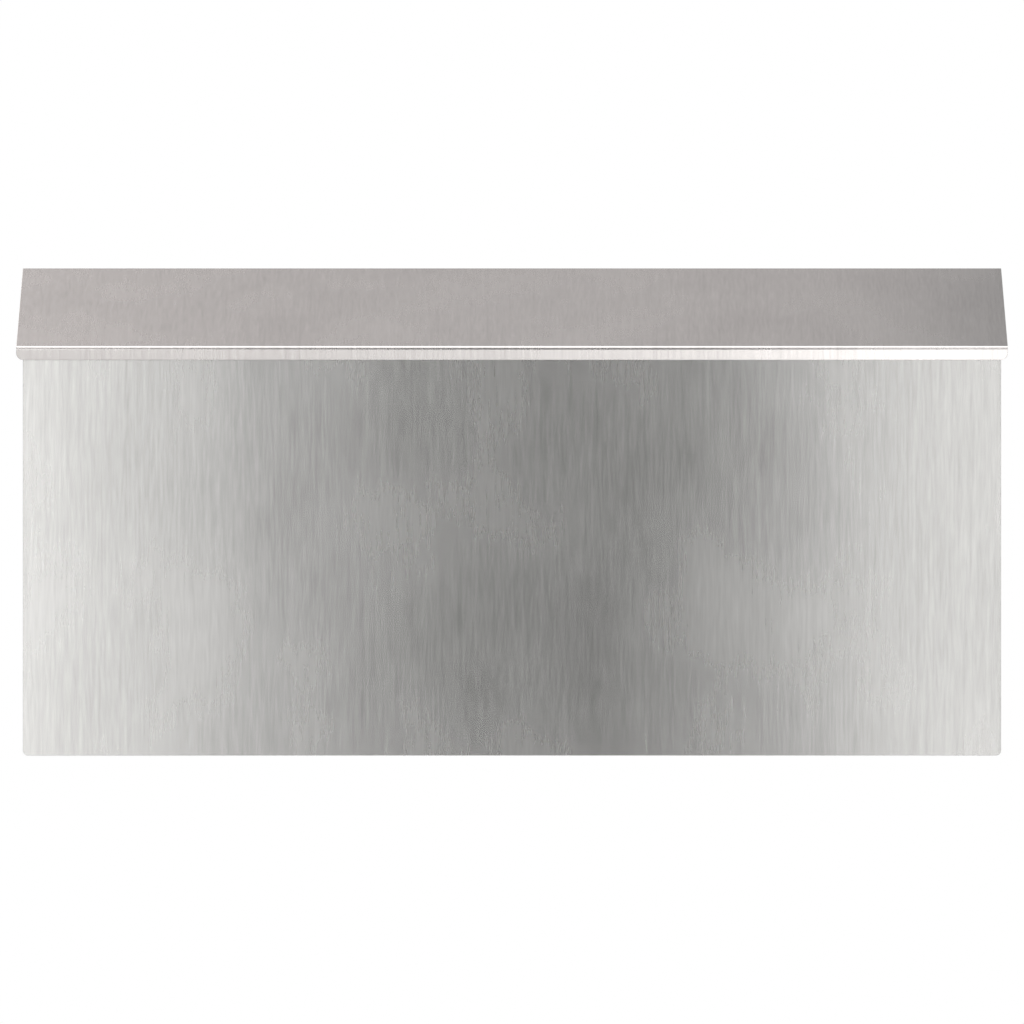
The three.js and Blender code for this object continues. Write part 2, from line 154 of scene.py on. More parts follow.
class Paint:
    """A material under construction: its node tree and its shader."""

    def __init__(self, name: str, **constants: Any) -> None:
        """Starts the material.

        Args:
            name: its name.
            constants: what the shader's sockets hold, their spaces written as underscores.
        """
        self.material = bpy.data.materials.new(name)
        self.material.use_nodes = True
        self.tree = self.material.node_tree
        self.tree.nodes.clear()
        sockets = {key.replace("_", " "): value for key, value in constants.items()}
        self.shader = add_node(self.tree, "BsdfPrincipled", sockets)
        self.output = self.add("OutputMaterial", {"Surface": self.shader.outputs[0]})

    def add(
        self, kind: str, inputs: dict[Any, Any] | None = None, **settings: Any
    ) -> bpy.types.Node:
        """Adds a node to this material."""
        return add_node(self.tree, kind, inputs, **settings)

    def feed(self, **sources: bpy.types.NodeSocket) -> None:
        """Links an output into each named shader socket."""
        for key, source in sources.items():
            self.tree.links.new(source, self.shader.inputs[key.replace("_", " ")])

    def noise(
        self, place: bpy.types.NodeSocket, size: Sequence[float], detail: float = 2.0
    ) -> bpy.types.NodeSocket:
        """Noise whose features measure `size`, mm along each axis of `place`.

        Args:
            place: coordinates in metres.
            size: feature size along each of the three axes, mm.
            detail: octaves of finer noise.

        Returns:
            The noise value, about 0.5 on average.
        """
        scale = [1 / (length * MM) for length in size]
        mapped = self.add("Mapping", {"Vector": place, "Scale": scale})
        inputs = {"Vector": mapped.outputs[0], "Scale": 1.0, "Detail": detail}
        return self.add("TexNoise", inputs).outputs[0]

    def spread(
        self, value: bpy.types.NodeSocket, low: float, high: float, contrast: float = 0.25
    ) -> bpy.types.NodeSocket:
        """Stretches noise to a range.

        Args:
            value: the noise, most of which lies within `contrast` of 0.5.
            low: where the range starts.
            high: where it ends.
            contrast: half the width of the noise's own range.

        Returns:
            The stretched noise, held within the range.
        """
        inputs = {
            "Value": value,
            "From Min": 0.5 - contrast,
            "From Max": 0.5 + contrast,
            "To Min": low,
            "To Max": high,
        }
        return self.add("MapRange", inputs).outputs[0]

    def sum(self, *values: bpy.types.NodeSocket) -> bpy.types.NodeSocket:
        """Adds values together.

        Args:
            values: the outputs to add.

        Returns:
            The output that holds their sum.
        """
        total = values[0]
        for value in values[1:]:
            total = self.add("Math", {0: total, 1: value}, operation="ADD").outputs[0]
        return total

    def tone(self, *noises: tuple[bpy.types.NodeSocket, float]) -> bpy.types.NodeSocket:
        """Adds noises up to a tone from 0 to 1, each of them with its share of it."""
        return self.sum(*(self.spread(noise, 0.0, share) for noise, share in noises))

    def blend(self, share: Any, first: Any, second: Any) -> bpy.types.NodeSocket:
        """Goes from the first colour to the second as `share` goes from 0 to 1."""
        inputs = {0: share, 6: first, 7: second}
        return self.add("Mix", inputs, data_type="RGBA", clamp_factor=True).outputs[2]

    def dress(
        self,
        colour: bpy.types.NodeSocket,
        gloss: bpy.types.NodeSocket,
        relief: bpy.types.NodeSocket,
        depth: float,
    ) -> bpy.types.Material:
        """Feeds the shader its colour, its roughness and its fine relief.

        Args:
            colour: the base colour.
            gloss: the roughness.
            relief: height of the surface, in steps of `depth`.
            depth: how deep the scratches, lines or pits are, mm.

        Returns:
            The finished material.
        """
        bump = self.add("Bump", {"Height": relief, "Distance": depth * MM, "Strength": 1.0})
        self.feed(Base_Color=colour, Roughness=gloss, Normal=bump.outputs[0])
        return self.material


class SheetPaint(Paint):
    """A material for sheet steel, laid out on the flat sheet with the grain along its V."""

    def __init__(self, name: str, draw: float) -> None:
        """Starts the material.

        Args:
            name: its name.
            draw: how far a highlight is drawn out across the grain, 0 to 1.
        """
        super().__init__(name, Metallic=1.0, Anisotropic=draw)
        self.place = self.add("UVMap", uv_map=FLAT_MAP).outputs[0]
        grain = self.add("Tangent", direction_type="UV_MAP", uv_map=FLAT_MAP)
        self.feed(Tangent=grain.outputs[0])

    def attribute(self, name: str) -> bpy.types.NodeSocket:
        """The number that the mesh holds under this name."""
        return self.add("Attribute", attribute_name=name).outputs["Fac"]


# ---- Finishes ----
@dataclass(frozen=True)
class BrushedStainless:
    """Stainless steel sheet, type 304, dry brushed on a belt of about 180 grit and left bare.

    The belt leaves short parallel scratches, so a highlight is drawn out across the grain and the
    tone changes in fine streaks along it. Wider streaks come from the belt's wear. Faint clouds
    change the roughness with the sheet's slight waves, and their share of the colour is a painted
    reflection of those waves. Cut edges are sheared and deburred, so they are brighter and
    plainer. A spot weld leaves a straw coloured ring.
    """

    name: str
    bright: str = "#cccbc9"
    dull: str = "#aaa9a7"
    edge: str = "#d3d2d0"
    straw: str = "#b89a6a"
    roughness: float = 0.27
    highlight_draw: float = 0.8
    hairline: tuple[float, float] = (0.9, 12.0)  # mm across and along, coarse enough to be seen
    streak: tuple[float, float] = (2.2, 60.0)
    cloud: float = 42.0
    scratch_depth: float = 0.0005
    scratch_gloss: float = 0.003  # how far the roughness changes with the hairlines
    cloud_gloss: float = 0.012  # and with the clouds

    def material(self) -> bpy.types.Material:
        """Makes the material.

        Returns:
            The material, for a sheet's mesh.
        """
        paint = SheetPaint(self.name, self.highlight_draw)
        hair = paint.noise(paint.place, (*self.hairline, 1.0), 1.5)
        streak = paint.noise(paint.place, (*self.streak, 1.0), 2.0)
        cloud = paint.noise(paint.place, (self.cloud, self.cloud * 1.5, 1.0), 3.0)
        # the clouds' share of the tone is a painted reflection of the sheet's slight waves
        tone = paint.tone((hair, 0.34), (streak, 0.26), (cloud, 0.40))
        brushed = paint.blend(tone, linear(self.dull), linear(self.bright))
        warmed = paint.blend(paint.attribute(HEAT), brushed, linear(self.straw))
        colour = paint.blend(paint.attribute(CUT_EDGE), warmed, linear(self.edge))
        gloss = paint.sum(
            paint.spread(
                hair, self.roughness - self.scratch_gloss, self.roughness + self.scratch_gloss
            ),
            paint.spread(cloud, -self.cloud_gloss, self.cloud_gloss),
        )
        relief = paint.sum(hair, paint.spread(streak, 0.0, 0.5))
        return paint.dress(colour, gloss, relief, self.scratch_depth)


@dataclass(frozen=True)
class RolledStrip:
    """Cold rolled stainless strip with a mill finish, as hinge leaves are rolled from.

    The rolls leave long faint lines down the strip and an even grey gloss, duller than a brushed
    sheet, with a few darker rub marks where the knuckles were formed.
    """

    name: str = "hinge_mill_finish"
    bright: str = "#bdbcb8"
    dull: str = "#95948f"
    edge: str = "#cbcac6"
    roughness: float = 0.36
    highlight_draw: float = 0.35
    roll_line: tuple[float, float] = (0.7, 70.0)  # mm across and along
    rub: float = 9.0
    line_depth: float = 0.008

    def material(self) -> bpy.types.Material:
        """Makes the material.

        Returns:
            The material, for a sheet's mesh.
        """
        paint = SheetPaint(self.name, self.highlight_draw)
        line = paint.noise(paint.place, (*self.roll_line, 1.0), 3.0)
        rub = paint.noise(paint.place, (self.rub, self.rub, 1.0), 4.0)
        tone = paint.tone((line, 0.55), (rub, 0.45))
        strip = paint.blend(tone, linear(self.dull), linear(self.bright))
        colour = paint.blend(paint.attribute(CUT_EDGE), strip, linear(self.edge))
        gloss = paint.spread(rub, self.roughness + 0.08, self.roughness - 0.06)
        return paint.dress(colour, gloss, paint.sum(line, rub), self.line_depth)


@dataclass(frozen=True)
class DrawnWire:
    """Stainless wire drawn through a die and cropped, for the hinge pin.

    It is the brightest steel on the mailbox, with fine lines along it and no grain across.
    """

    name: str = "pin_drawn_wire"
    bright: str = "#d8d8d5"
    dull: str = "#b4b4b0"
    roughness: float = 0.22
    die_line: tuple[float, float, float] = (30.0, 0.25, 0.25)
    stain: tuple[float, float, float] = (6.0, 3.0, 3.0)
    line_depth: float = 0.006

    def material(self) -> bpy.types.Material:
        """Makes the material.

        Returns:
            The material.
        """
        paint = Paint(self.name, Metallic=1.0)
        place = paint.add("TexCoord").outputs["Object"]
        line = paint.noise(place, self.die_line, 2.0)
        stain = paint.noise(place, self.stain, 3.0)
        tone = paint.tone((line, 0.6), (stain, 0.4))
        colour = paint.blend(tone, linear(self.dull), linear(self.bright))
        gloss = paint.spread(stain, self.roughness - 0.05, self.roughness + 0.08)
        return paint.dress(colour, gloss, line, self.line_depth)


@dataclass(frozen=True)
class PressedRivet:
    """Stainless blind rivets, pressed and tumbled to a satin.

    Tumbling leaves a fine random peening, so the head has a soft even sheen with small mottles.
    """

    name: str = "rivet_tumbled"
    bright: str = "#cac9c5"
    dull: str = "#a09f9a"
    roughness: float = 0.3
    peen: float = 0.35
    mottle: float = 2.5
    peen_depth: float = 0.015

    def material(self) -> bpy.types.Material:
        """Makes the material.

        Returns:
            The material.
        """
        paint = Paint(self.name, Metallic=1.0)
        place = paint.add("TexCoord").outputs["Object"]
        peen = paint.noise(place, (self.peen,) * 3, 2.0)
        mottle = paint.noise(place, (self.mottle,) * 3, 3.0)
        tone = paint.tone((peen, 0.4), (mottle, 0.6))
        colour = paint.blend(tone, linear(self.dull), linear(self.bright))
        gloss = paint.spread(mottle, self.roughness - 0.05, self.roughness + 0.08)
        return paint.dress(colour, gloss, peen, self.peen_depth)


@dataclass(frozen=True)
class ClearPolyurethane:
    """Clear cast polyurethane, for the soft stick-on bumpers.

    It is water clear with the faintest cool cast, glossy on its dome, and picks up fine dust that
    softens the gloss in patches.
    """

    name: str = "bumper_clear_polyurethane"
    clean: str = "#eef3f4"
    dusty: str = "#dde0de"
    roughness: float = 0.08
    refraction: float = 1.49
    clearness: float = 0.85
    dust: float = 0.8
    smear: float = 3.0
    dust_depth: float = 0.01

    def material(self) -> bpy.types.Material:
        """Makes the material.

        Returns:
            The material.
        """
        paint = Paint(
            self.name, Metallic=0.0, IOR=self.refraction, Transmission_Weight=self.clearness
        )
        place = paint.add("TexCoord").outputs["Object"]
        dust = paint.noise(place, (self.dust,) * 3, 4.0)
        smear = paint.noise(place, (self.smear,) * 3, 2.0)
        tone = paint.tone((dust, 0.5), (smear, 0.5))
        colour = paint.blend(tone, linear(self.clean), linear(self.dusty))
        gloss = paint.spread(smear, self.roughness, self.roughness + 0.16)
        return paint.dress(colour, gloss, dust, self.dust_depth)


@dataclass(frozen=True)
class PaleFloor:
    """A matt painted studio floor.

    It can't be seen from below, so that the mailbox's underside can be looked at.
    """

    name: str = "studio_floor_paint"
    light: str = "#f4f4f3"
    shade: str = "#ededec"
    roughness: float = 0.9
    patch: float = 900.0

    def material(self) -> bpy.types.Material:
        """Makes the material.

        Returns:
            The material.
        """
        paint = Paint(self.name, Roughness=self.roughness)
        place = paint.add("TexCoord").outputs["Object"]
        patch = paint.noise(place, (self.patch,) * 3, 2.0)
        paint.feed(Base_Color=paint.blend(patch, linear(self.light), linear(self.shade)))
        below = paint.add("NewGeometry").outputs["Backfacing"]
        clear = paint.add("BsdfTransparent").outputs[0]
        seen = paint.add("MixShader", {0: below, 1: paint.shader.outputs[0], 2: clear})
        paint.tree.links.new(seen.outputs[0], paint.output.inputs["Surface"])
        return paint.material


# ---- Sections, blanks and folding ----
@dataclass(frozen=True)
class SectionPath:
    """The middle line of a folded sheet's section, measured along itself.

    It is a chain of straight runs and round bends. Step k begins at length s_k, is L_k long and
    turns by T_k, so its curvature is c = T_k / L_k. The part of a length s that lies in it is
    t = s - s_k, held between 0 and L_k, and the step moves the point by t * sinc(c t / 2) in the
    direction of the heading at s_k plus c t / 2. The first and last steps run on past the ends.
    """

    start: tuple[float, float]
    heading: float
    lengths: tuple[float, ...]
    turns: tuple[float, ...]
    setbacks: tuple[float, ...] = ()

    @classmethod
    def from_corners(
        cls, corners: Sequence[Sequence[float]], inside: float, sheet: float
    ) -> "SectionPath":
        """Follows a sheet whose outer face has these corners and turns left at each.

        A bend of turn a takes (inside + sheet) * tan(a / 2) from the runs beside it, and the middle
        line's arc is (inside + sheet / 2) * a long.

        Args:
            corners: the outer face's corners, its two ends among them, mm.
            inside: inside radius of every bend, mm.
            sheet: thickness, mm.

        Returns:
            The middle line.
        """
        line = np.array([tuple(corner) for corner in corners], float)
        run = np.diff(line, axis=0)
        heading = np.unwrap(np.arctan2(run[:, 1], run[:, 0]))
        turn = np.diff(heading)
        setback = (inside + sheet) * np.tan(turn / 2)
        flat = np.hypot(*run.T) - np.append(0, setback) - np.append(setback, 0)
        lengths = np.zeros(2 * len(flat) - 1)
        turns = np.zeros_like(lengths)
        lengths[::2] = flat
        lengths[1::2] = (inside + sheet / 2) * turn
        turns[1::2] = turn
        left = np.array([-math.sin(heading[0]), math.cos(heading[0])])
        return cls(
            tuple(line[0] + left * sheet / 2),
            float(heading[0]),
            tuple(lengths),
            tuple(turns),
            tuple(setback),
        )

    @property
    def knots(self) -> np.ndarray:
        """Lengths at which the steps begin, and the path's whole length."""
        return np.append(0.0, np.cumsum(self.lengths))

    @property
    def length(self) -> float:
        """The path's whole length, mm."""
        return float(sum(self.lengths))

    @property
    def bend_rows(self) -> np.ndarray:
        """Lengths of the rows that follow the bends.

        Returns:
            The lengths, mm, with each bend's two ends among them.
        """
        knots = self.knots
        rows = [
            np.linspace(knots[k], knots[k + 1], math.ceil(abs(turn) / ROW_TURN) + 1)
            for k, turn in enumerate(self.turns)
            if turn
        ]
        return np.concatenate(rows)

    @property
    def flat_rows(self) -> np.ndarray:
        """Lengths at which points fill the flats.

        Returns:
            The lengths, mm, without the flats' own ends.
        """
        knots = self.knots
        rows = [
            np.linspace(knots[k], knots[k + 1], max(2, round(self.lengths[k] / LATTICE)) + 1)[1:-1]
            for k, turn in enumerate(self.turns)
            if not turn
        ]
        return np.concatenate(rows)

    def past(self, corner: int, distance: float) -> float:
        """The length that lies `distance` mm beyond a corner of the outer face, counted from 1."""
        return float(self.knots[2 * corner] + distance - self.setbacks[corner - 1])

    def at(self, s: np.ndarray) -> tuple[np.ndarray, np.ndarray]:
        """Places on the path.

        Args:
            s: lengths along it, mm.

        Returns:
            The points and the unit normals to the right of travel, each one row for each length.
        """
        lengths, turns = np.array(self.lengths), np.array(self.turns)
        last = len(lengths) - 1
        low = np.where(np.arange(last + 1) == 0, -np.inf, 0.0)
        high = np.where(np.arange(last + 1) == last, np.inf, lengths)
        part = np.clip(np.asarray(s, float)[:, None] - self.knots[:-1], low, high)
        turned = turns / lengths * part
        middle = self.heading + np.append(0, np.cumsum(turns)[:-1]) + turned / 2
        step = part * np.sinc(turned / 2 / np.pi)
        moved = np.stack([(step * np.cos(middle)).sum(1), (step * np.sin(middle)).sum(1)], 1)
        heading = self.heading + turned.sum(1)
        return np.array(self.start) + moved, np.stack([np.sin(heading), -np.cos(heading)], 1)


class Folding(Protocol):
    """A way to fold a flat sheet."""

    def place(self, u: np.ndarray, v: np.ndarray, w: np.ndarray) -> np.ndarray:
        """Where points of the sheet go.

        Args:
            u: first flat coordinate of each, mm.
            v: second flat coordinate of each, mm.
            w: height of each above the sheet's middle, mm.

        Returns:
            One row of X, Y, Z for each, mm.
        """

    def rows(self) -> tuple[np.ndarray, np.ndarray, np.ndarray, np.ndarray]:
        """Where the sheet has to be divided.

        Returns:
            Bend rows across u and across v, then the lattice's places along u and along v.
        """


@dataclass(frozen=True)
class FoldAcross:
    """Folds a sheet along lines that run across the mailbox.

    With P(v) the section in the side view and N(v) its normal, a point goes to X = u and
    (Y, Z) = P(v) + w N(v).
    """

    path: SectionPath
    half_width: float

    def place(self, u: np.ndarray, v: np.ndarray, w: np.ndarray) -> np.ndarray:
        """Where points of the sheet go, one row of X, Y, Z for each, mm."""
        point, normal = self.path.at(v)
        return np.column_stack([u, point + w[:, None] * normal])

    def rows(self) -> tuple[np.ndarray, np.ndarray, np.ndarray, np.ndarray]:
        """Where the sheet has to be divided.

        Returns:
            Bend rows across u and across v, then the lattice's places along u and along v.
        """
        count = 2 * round(self.half_width / LATTICE) + 1
        across = np.linspace(-self.half_width, self.half_width, count)[1:-1]
        return np.array([]), self.path.bend_rows, across, self.path.flat_rows


@dataclass(frozen=True)
class FoldTwoWays:
    """Folds a side panel: upright flanges wrap to the front and back, and a foot turns in below.

    The wrap P is a section seen from above, in (X, Y), and the foot Q one seen from the front, in
    (Z, X). Both hold the plate's middle at X = plate, so a point goes to
    X = Px(u) + Qx(v) - plate + w Nx(u) Mx(v), Y = Py(u) + w Ny(u) and Z = Qz(v) + w Mz(v), with N
    and M their normals. The left panel has X turned over.
    """

    wrap: SectionPath
    foot: SectionPath
    plate: float
    side: int

    def place(self, u: np.ndarray, v: np.ndarray, w: np.ndarray) -> np.ndarray:
        """Where points of the sheet go.

        Args:
            u: place of each along the wrap, mm.
            v: place of each along the foot's section, mm.
            w: height of each above the sheet's middle, mm.

        Returns:
            One row of X, Y, Z for each, mm.
        """
        wrap, wrap_normal = self.wrap.at(u)
        foot, foot_normal = self.foot.at(v)
        x = wrap[:, 0] + foot[:, 1] - self.plate + w * wrap_normal[:, 0] * foot_normal[:, 1]
        return np.column_stack(
            [self.side * x, wrap[:, 1] + w * wrap_normal[:, 1], foot[:, 0] + w * foot_normal[:, 0]]
        )

    def rows(self) -> tuple[np.ndarray, np.ndarray, np.ndarray, np.ndarray]:
        """Bend rows across u and across v, then the lattice's places along u and along v."""
        return self.wrap.bend_rows, self.foot.bend_rows, self.wrap.flat_rows, self.foot.flat_rows


def rounded(corners: Sequence[tuple[float, float, float]]) -> np.ndarray:
    """A closed outline whose corners may be round.

    With b the unit vector that halves a corner and h half the angle between its sides, an arc of
    radius r is centred r / sin(h) along b and touches the sides r / tan(h) from the corner.

    Args:
        corners: u, v and radius of each corner, mm.

    Returns:
        The outline's points, one row each.
    """
    points = []
    for i, (u, v, radius) in enumerate(corners):
        corner = np.array([u, v])
        if not radius:
            points.append(corner[None])
            continue
        sides = np.array([corners[i - 1][:2], corners[(i + 1) % len(corners)][:2]]) - corner
        sides /= np.hypot(*sides.T)[:, None]
        half = math.acos(float(sides[0] @ sides[1])) / 2
        inward = sides.sum(0) / np.hypot(*sides.sum(0))
        centre = corner + inward * radius / math.sin(half)
        ends = corner + sides * radius / math.tan(half) - centre
        angle = np.unwrap(np.arctan2(ends[:, 1], ends[:, 0]))
        swept = np.linspace(*angle, math.ceil(abs(angle[1] - angle[0]) / ROW_TURN) + 1)
        points.append(centre + radius * np.column_stack([np.cos(swept), np.sin(swept)]))
    return np.concatenate(points)


def circle(u: float, v: float, radius: float, count: int = 40) -> np.ndarray:
    """A round hole's outline: (u, v) + radius * (cos a, sin a), for a going once round."""
    angle = np.linspace(0, 2 * np.pi, count, endpoint=False)
    return np.array([u, v]) + radius * np.column_stack([np.cos(angle), np.sin(angle)])


@dataclass
class Blank:
    """A flat sheet as it leaves the punch, with what is pressed into it later, mm.

    `outlines` holds the outer edge and then each hole. `welds` are spot welds, which dish one face.
    """

    thickness: float
    outlines: list[np.ndarray]
    welds: np.ndarray = field(default_factory=lambda: np.zeros((0, 2)))
    weld_face: Face = Face.LEFT
    edge_break: float = 0.12
    weld_radius: float = 2.4
    weld_depth: float = 0.13
    heat_width: float = 1.575  # how fast a weld's tint fades on either side of its rim
    heat_tint: float = 0.55  # the strongest tint

    def edges(self) -> tuple[np.ndarray, np.ndarray]:
        """The first and second end of every edge of every outline."""
        first = np.concatenate(self.outlines)
        return first, np.concatenate([np.roll(line, -1, axis=0) for line in self.outlines])

    def inside(self, points: np.ndarray) -> np.ndarray:
        """Which points lie in the sheet, by counting the edges to the right of each.

        Args:
            points: flat places, one row each, mm.

        Returns:
            True for each point in the sheet.
        """
        a, b = self.edges()
        u, v = points[:, :1], points[:, 1:]
        spans = (a[:, 1] > v) != (b[:, 1] > v)
        rise = np.where(b[:, 1] == a[:, 1], 1.0, b[:, 1] - a[:, 1])
        crossing = a[:, 0] + (v - a[:, 1]) * (b[:, 0] - a[:, 0]) / rise
        return (spans & (u < crossing)).sum(1) % 2 == 1

    def from_edge(self, points: np.ndarray) -> np.ndarray:
        """Distance of points from the nearest outline.

        Args:
            points: flat places, one row each, mm.

        Returns:
            The distance of each, mm.
        """
        a, b = self.edges()
        run = b - a
        share = ((points[:, None] - a) * run).sum(2) / (run**2).sum(1)
        nearest = a + np.clip(share, 0, 1)[..., None] * run
        return np.sqrt(((points[:, None] - nearest) ** 2).sum(2).min(1))

    def dish(self, points: np.ndarray) -> tuple[np.ndarray, np.ndarray]:
        """How deep the weld dishes are. A dish is depth * (1 - (r / R)^2)^2 deep inside r = R.

        Args:
            points: flat places, one row each, mm.

        Returns:
            The depth at each, mm, and its slope along u and v.
        """
        away = points[:, None] - self.welds
        hollow = np.clip(1 - (away**2).sum(2) / self.weld_radius**2, 0, None)
        slope = -4 * self.weld_depth / self.weld_radius**2 * (hollow[..., None] * away).sum(1)
        return self.weld_depth * (hollow**2).sum(1), slope

    def heat(self, points: np.ndarray) -> np.ndarray:
        """How far the welds have tinted the steel. Each leaves a ring that fades both ways.

        Args:
            points: flat places, one row each, mm.

        Returns:
            The tint at each, 0 to 1.
        """
        away = np.sqrt(((points[:, None] - self.welds) ** 2).sum(2))
        ring = np.exp(-(((away - self.weld_radius) / self.heat_width) ** 2))
        return np.clip(ring.sum(1), 0, 1) * self.heat_tint

    def mesh(self, folding: Folding) -> tuple[np.ndarray, np.ndarray]:
        """Divides the sheet into triangles that follow its outlines, bends and welds.

        Args:
            folding: how it will be folded.

        Returns:
            The points and the triangles, which run anticlockwise.
        """
        bend_u, bend_v, fill_u, fill_v = folding.rows()
        low, high = self.outlines[0].min(0) - OVERRUN, self.outlines[0].max(0) + OVERRUN
        across_v = [np.array([[low[0], v], [high[0], v]]) for v in bend_v]
        across_u = [np.array([[u, low[1]], [u, high[1]]]) for u in bend_u]
        all_u, all_v = np.append(bend_u, fill_u), np.append(bend_v, fill_v)
        lattice = np.stack(np.meshgrid(all_u, all_v), -1).reshape(-1, 2)
        rings = [circle(0, 0, r * self.weld_radius, WELD_RING_POINTS) for r in WELD_RINGS]
        around = np.concatenate([*rings, np.zeros((1, 2))])
        marks = (self.welds[:, None] + around).reshape(-1, 2)
        loose = np.concatenate([lattice, marks])
        loose = loose[self.inside(loose)]
        loose = loose[self.from_edge(loose) > CLEARANCE]
        points, edges, begun = [], [], 0
        closed_lines = [(outline, True) for outline in self.outlines]
        open_lines = [(row, False) for row in across_v + across_u]
        for line, closed in closed_lines + open_lines:
            index = np.arange(len(line)) + begun
            ends = np.column_stack([index, np.roll(index, -1)])
            edges.append(ends if closed else ends[:-1])
            points.append(line)
            begun += len(line)
        cut = delaunay_2d_cdt(
            [Vector(p) for p in np.concatenate([*points, loose]).tolist()],
            np.concatenate(edges).tolist(),
            [],
            0,
            SAME_POINT,
        )
        flat = np.array([tuple(p) for p in cut[0]])
        triangles = np.array(cut[2])
        keep = triangles[self.inside(flat[triangles].mean(1))]
        one, two = flat[keep[:, 1]] - flat[keep[:, 0]], flat[keep[:, 2]] - flat[keep[:, 0]]
        area = one[:, 0] * two[:, 1] - one[:, 1] * two[:, 0]
        keep = np.where((area < 0)[:, None], keep[:, ::-1], keep)
        used, index = np.unique(keep, return_inverse=True)
        return flat[used], index.reshape(-1, 3)


@dataclass
class Shell:
    """A closed mesh, with what belongs to each triangle's corners."""

    points: np.ndarray
    triangles: np.ndarray
    normals: np.ndarray
    flat: np.ndarray
    cut_edge: np.ndarray
    heat: np.ndarray


def derivatives(folding: Folding, flat: np.ndarray) -> list[np.ndarray]:
    """A fold's partial derivatives at the sheet's middle, by small central differences.

    Args:
        folding: how the sheet is folded.
        flat: flat places, one row each, mm.

    Returns:
        The derivatives along u, along v and along w, each one row for each place.
    """
    middle = np.zeros(len(flat))
    found = []
    for u, v, w in DIFFERENCE * np.eye(3):
        ahead = folding.place(flat[:, 0] + u, flat[:, 1] + v, middle + w)
        behind = folding.place(flat[:, 0] - u, flat[:, 1] - v, middle - w)
        found.append((ahead - behind) / (2 * DIFFERENCE))
    return found


